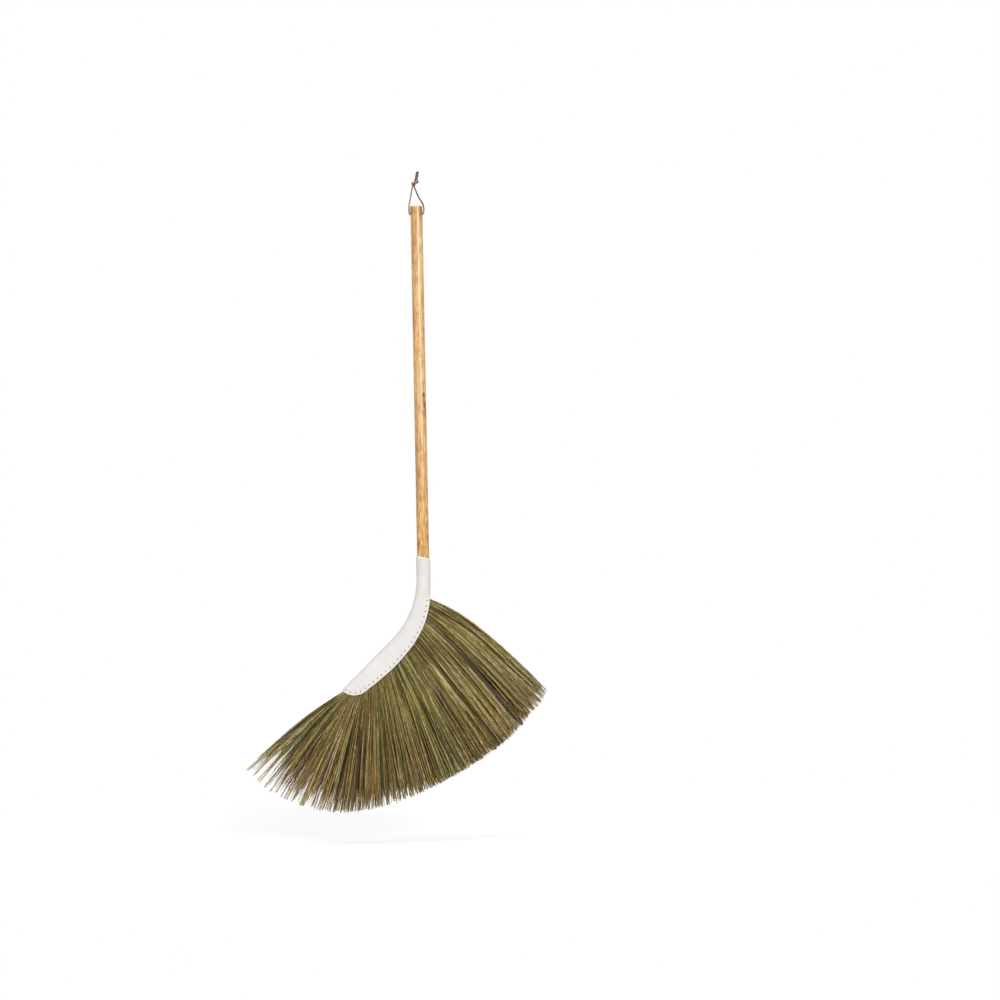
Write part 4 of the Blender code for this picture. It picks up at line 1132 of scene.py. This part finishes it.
def lay_strands(dice, first, second, hairs):
    """Centre lines, radii and tones of all the strands in one bunch's plumes, and of its loose hairs."""
    plumes = pick_plumes(dice, first, second)
    plume = np.repeat(np.arange(len(plumes["middle"])), STRANDS_A_PLUME)
    plume = np.concatenate([plume, dice.integers(0, len(plumes["middle"]), hairs)])
    count = len(plume)
    hair = np.arange(count) >= count - hairs
    spread = np.where(hair, 3 * PLUME_SPREAD, PLUME_SPREAD)
    shares = np.clip(plumes["middle"][plume] + dice.normal(0, 1, count) * spread, -HEEL_OVERHANG, 1)
    row = np.clip(plumes["row"][plume] + dice.normal(0, 0.03, count), -1, 1)
    thin = wispy(shares)
    most_depth = 0.5 * FAN_DEPTH * (1 - 0.25 * thin)
    depth = row * most_depth
    lock = np.searchsorted(LOCKS["limits"], plumes["middle"][plume] + 0.0012 * row)
    whole = plumes["cut"][plume] < 0.34 - 0.26 * read_fan(FAN_SPARSE, shares)
    cut = np.sqrt(dice.random(count)) * (0.6 + 0.4 * plumes["cut"][plume])
    ragged = 1 - np.where(whole, 0.02 * cut, read_fan(FAN_FRAY, shares) * cut)
    ragged -= 0.010 * LOCKS["length"][lock] + 0.020 * row * row * cut
    lean = plumes["lean"][plume] * (1 + thin) + dice.normal(0, 0.2, count) * np.where(hair, 3, 1)
    edge = np.clip(1 - np.minimum(shares + HEEL_OVERHANG, 1 - shares) / EDGE_SHARE, 0, 1)
    lean += (np.abs(lean) * np.where(shares < 0.5, 0.8, 0.3) - lean) * np.where(hair, 0.7, 1) * edge
    lean += TOE_SPREAD * np.clip((shares - TOE_START) / (1 - TOE_START), 0, 1)
    reach = FAN_LENGTH * read_fan(FAN_REACH, shares) * ragged
    gather = LOCKS["pull"][lock] * read_fan(FAN_SPARSE, shares) * (1 - 0.8 * edge)
    lock_share = np.clip(shares + (LOCKS["middle"][lock] - shares) * gather, -HEEL_OVERHANG, 1)
    start, bend, tip, line = fan_tips(shares, depth, reach, lean)
    gathered = fan_tips(lock_share, depth, reach, lean * (1 - 0.75 * gather))[2]
    root_depth = read_fan(FAN_HALF, shares) * 0.96
    start[:, 1] = row * root_depth
    bend[:, 1] = start[:, 1] + (depth - start[:, 1]) * BEND_SHARE
    sway = plumes["sway"][:, plume] * PLUME_SWAY + dice.normal(0, STRAND_WAVER, (2, count, 3))
    rings = [start - line * ROOT_SINK]
    for u in STRAND_RINGS[1:]:
        wave = sum(sway[k] * math.sin(math.pi * (k + 1) * u) / (k + 1) for k in range(2)) * min(u * 2.5, 1)
        place = curved(start, bend, tip, u) + (gathered - tip) * u ** 4 + wave
        limit = root_depth + (most_depth - root_depth) * (2 * BEND_SHARE * u * (1 - u) + u * u)
        place[:, 1] = np.clip(place[:, 1], -limit, limit)
        rings.append(place)
    radii = np.where(hair, dice.uniform(*HAIR_RADII, count), dice.uniform(*STRAND_RADII, count))
    radii = np.stack([radii * (1 - 0.25 * thin) * w for w in STRAND_TAPER], axis=1)
    tone = np.clip(plumes["tone"][plume] + dice.normal(0, 0.03, count), 0.01, 0.98)
    return np.stack(rings, axis=1), radii, plumes["kind"][plume] + 0.01 + 0.23 * tone


def bind_bunch(number, grass):
    """One bunch as a single mesh: three-sided strands, its map reading tone across and length along."""
    dice = np.random.default_rng(PLUME_SEED + number)
    first, second = STITCH_SHARES[number - 1], STITCH_SHARES[number]
    hairs = 4 + int(LOOSE_HAIRS * wispy(np.array([(first + second) / 2]))[0])
    lines, radii, tones = lay_strands(dice, first, second, hairs)
    count, rings = radii.shape
    along = np.gradient(lines, axis=1)
    along /= np.linalg.norm(along, axis=2, keepdims=True)
    side = np.cross(along, np.array([0.0, 1.0, 0.0]))
    side /= np.linalg.norm(side, axis=2, keepdims=True)
    deep = np.cross(along, side)
    j = np.arange(3)
    k = (j + 1) % 3
    turns = (dice.uniform(0, 2 * math.pi, (count, 1, 1)) + 2 * math.pi * j / 3)[..., None]
    around = side[:, :, None] * np.cos(turns) + deep[:, :, None] * np.sin(turns)
    points = lines[:, :, None] + radii[:, :, None, None] * around
    base = 3 * (np.arange(count)[:, None, None] * rings + np.arange(rings - 1)[:, None])
    quads = np.stack([base + j, base + k, base + 3 + k, base + 3 + j], axis=3).reshape(-1, 4)
    heights = np.clip(STRAND_RINGS, 0, 1)[:, None] * 0.96 + 0.02
    left, low, high = np.broadcast_arrays(tones[:, None, None] + j * FACET_SHIFT, heights[:-1], heights[1:])
    right = left + FACET_SHIFT
    corners = np.stack([left, low, right, low, right, high, left, high], axis=3)
    tuft = new_piece(
        f"grass_tuft_{number:02d}", points.reshape(-1, 3).tolist(), quads.tolist(), grass, "OFBake", corners
    )
    tuft.data.shade_smooth()
    return tuft


def grass_finish():
    """Dry grass: kind and tone are across the map and the strand's length up it, golden at the tip, with
    painted shade at the root.
    """
    material, place = mix_finish("dry_grass")
    uv = place.node("ShaderNodeUVMap", {"uv_map": "OFBake"})
    tone, along = uv.part("X"), uv.part("Y")
    body = tone.node("ShaderNodeValToRGB", {"stops": GRASS_COLOURS}, {0: tone})
    tip = tone.node("ShaderNodeValToRGB", {"stops": TIP_COLOURS}, {0: tone})
    streak = uv.stretched(110, 26, 1).cloud(1.0, 3, 0.6)
    stain = tone.rise(0.750, 0.755) * tone.rise(0.835, 0.830) * along.rise(0.55, 0.30)
    body = stain.blend(body, (0.19, 0.15, 0.05))
    skin = along.rise(0.66, 1.0).blend(body, tip)
    # Painted shade: the strands darker at the root, under the sleeve's edge.
    skin = (along.rise(0.08, 0.0) * 0.25).blend(skin, (0.05, 0.038, 0.012))
    skin = streak.rise(0.36, 0.64).blend(skin.stretched(0.55, 0.54, 0.50), skin.stretched(1.25, 1.25, 1.28))
    set_finish(material, skin, 0.55 + 0.2 * streak, Specular_IOR_Level=0.3)
    return material


dry_grass = grass_finish()
for number in range(1, STITCH_COUNT):
    tuft = bind_bunch(number, dry_grass)
    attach(tuft, "broom")
    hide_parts(f"grass_bunch_{number:02d}")


# Stitching
# Two waxed threads in a saddle stitch close the sleeve on the grass. Each goes over the front in one gap
# and over the back in the next, and both pass through every hole.
THREAD_DIAMETER = 0.0008
THREAD_SHIFT = 0.0007
THREAD_LIFT = 0.0002
THREAD_CORNER = 0.0006


def thread_path(shift, side):
    """Through each hole in turn and over one wall, then the other."""
    places = [place + root_direction(share) * shift for share, place in zip(STITCH_SHARES, STITCHES)]
    lifts = [half_depth(*fold_place(p)) + THREAD_LIFT + THREAD_DIAMETER / 2 - STITCH_DIP for p in places]
    arc = [(THREAD_CORNER * (1 - math.sin(a)), THREAD_CORNER * (1 - math.cos(a)))
           for a in (0, math.pi / 6, math.pi / 3, math.pi / 2)]
    path = [places[0]]
    for i, (place, lift) in enumerate(zip(places, lifts)):
        along = (places[min(i + 1, len(places) - 1)] - places[max(i - 1, 0)]).normalized()
        if i > 0:
            path += [place - along * run + Vector((0, side * (lift - drop), 0)) for drop, run in arc[::-1]]
            side = -side
        if i < len(places) - 1:
            path += [place + along * run + Vector((0, side * (lift - drop), 0)) for drop, run in arc]
    return [*path, places[-1]]


def thread_finish():
    """Waxed off-white thread, twisted from three plies, with painted shade in the grooves between them."""
    material, place = mix_finish("waxed_thread")
    uv = place.node("ShaderNodeUVMap", {"uv_map": "along"})
    twist = uv.part("X") * (6 * math.pi) + uv.part("Y") * 60
    ply_height_and_shade = 0.5 + 0.5 * twist.maths("SINE", twist)
    # Painted shade: each ply's crest pale and the groove between plies darker, on the same wave as the relief.
    skin = ply_height_and_shade.blend((0.62, 0.59, 0.53), (0.86, 0.84, 0.79))
    set_finish(material, skin, 0.62, ply_height_and_shade, 0.00008)
    return material


waxed = thread_finish()
for name, node, shift, side in (("stitching_outer", "stitch_thread_outer", THREAD_SHIFT, -1),
                                ("stitching_inner", "stitch_thread_inner", -THREAD_SHIFT, 1)):
    thread = swept(
        name, thread_path(shift, side), THREAD_DIAMETER, THREAD_DIAMETER, (0, 1, 0), steady(0), waxed, 8
    )
    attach(thread, "broom")
    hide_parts(node)
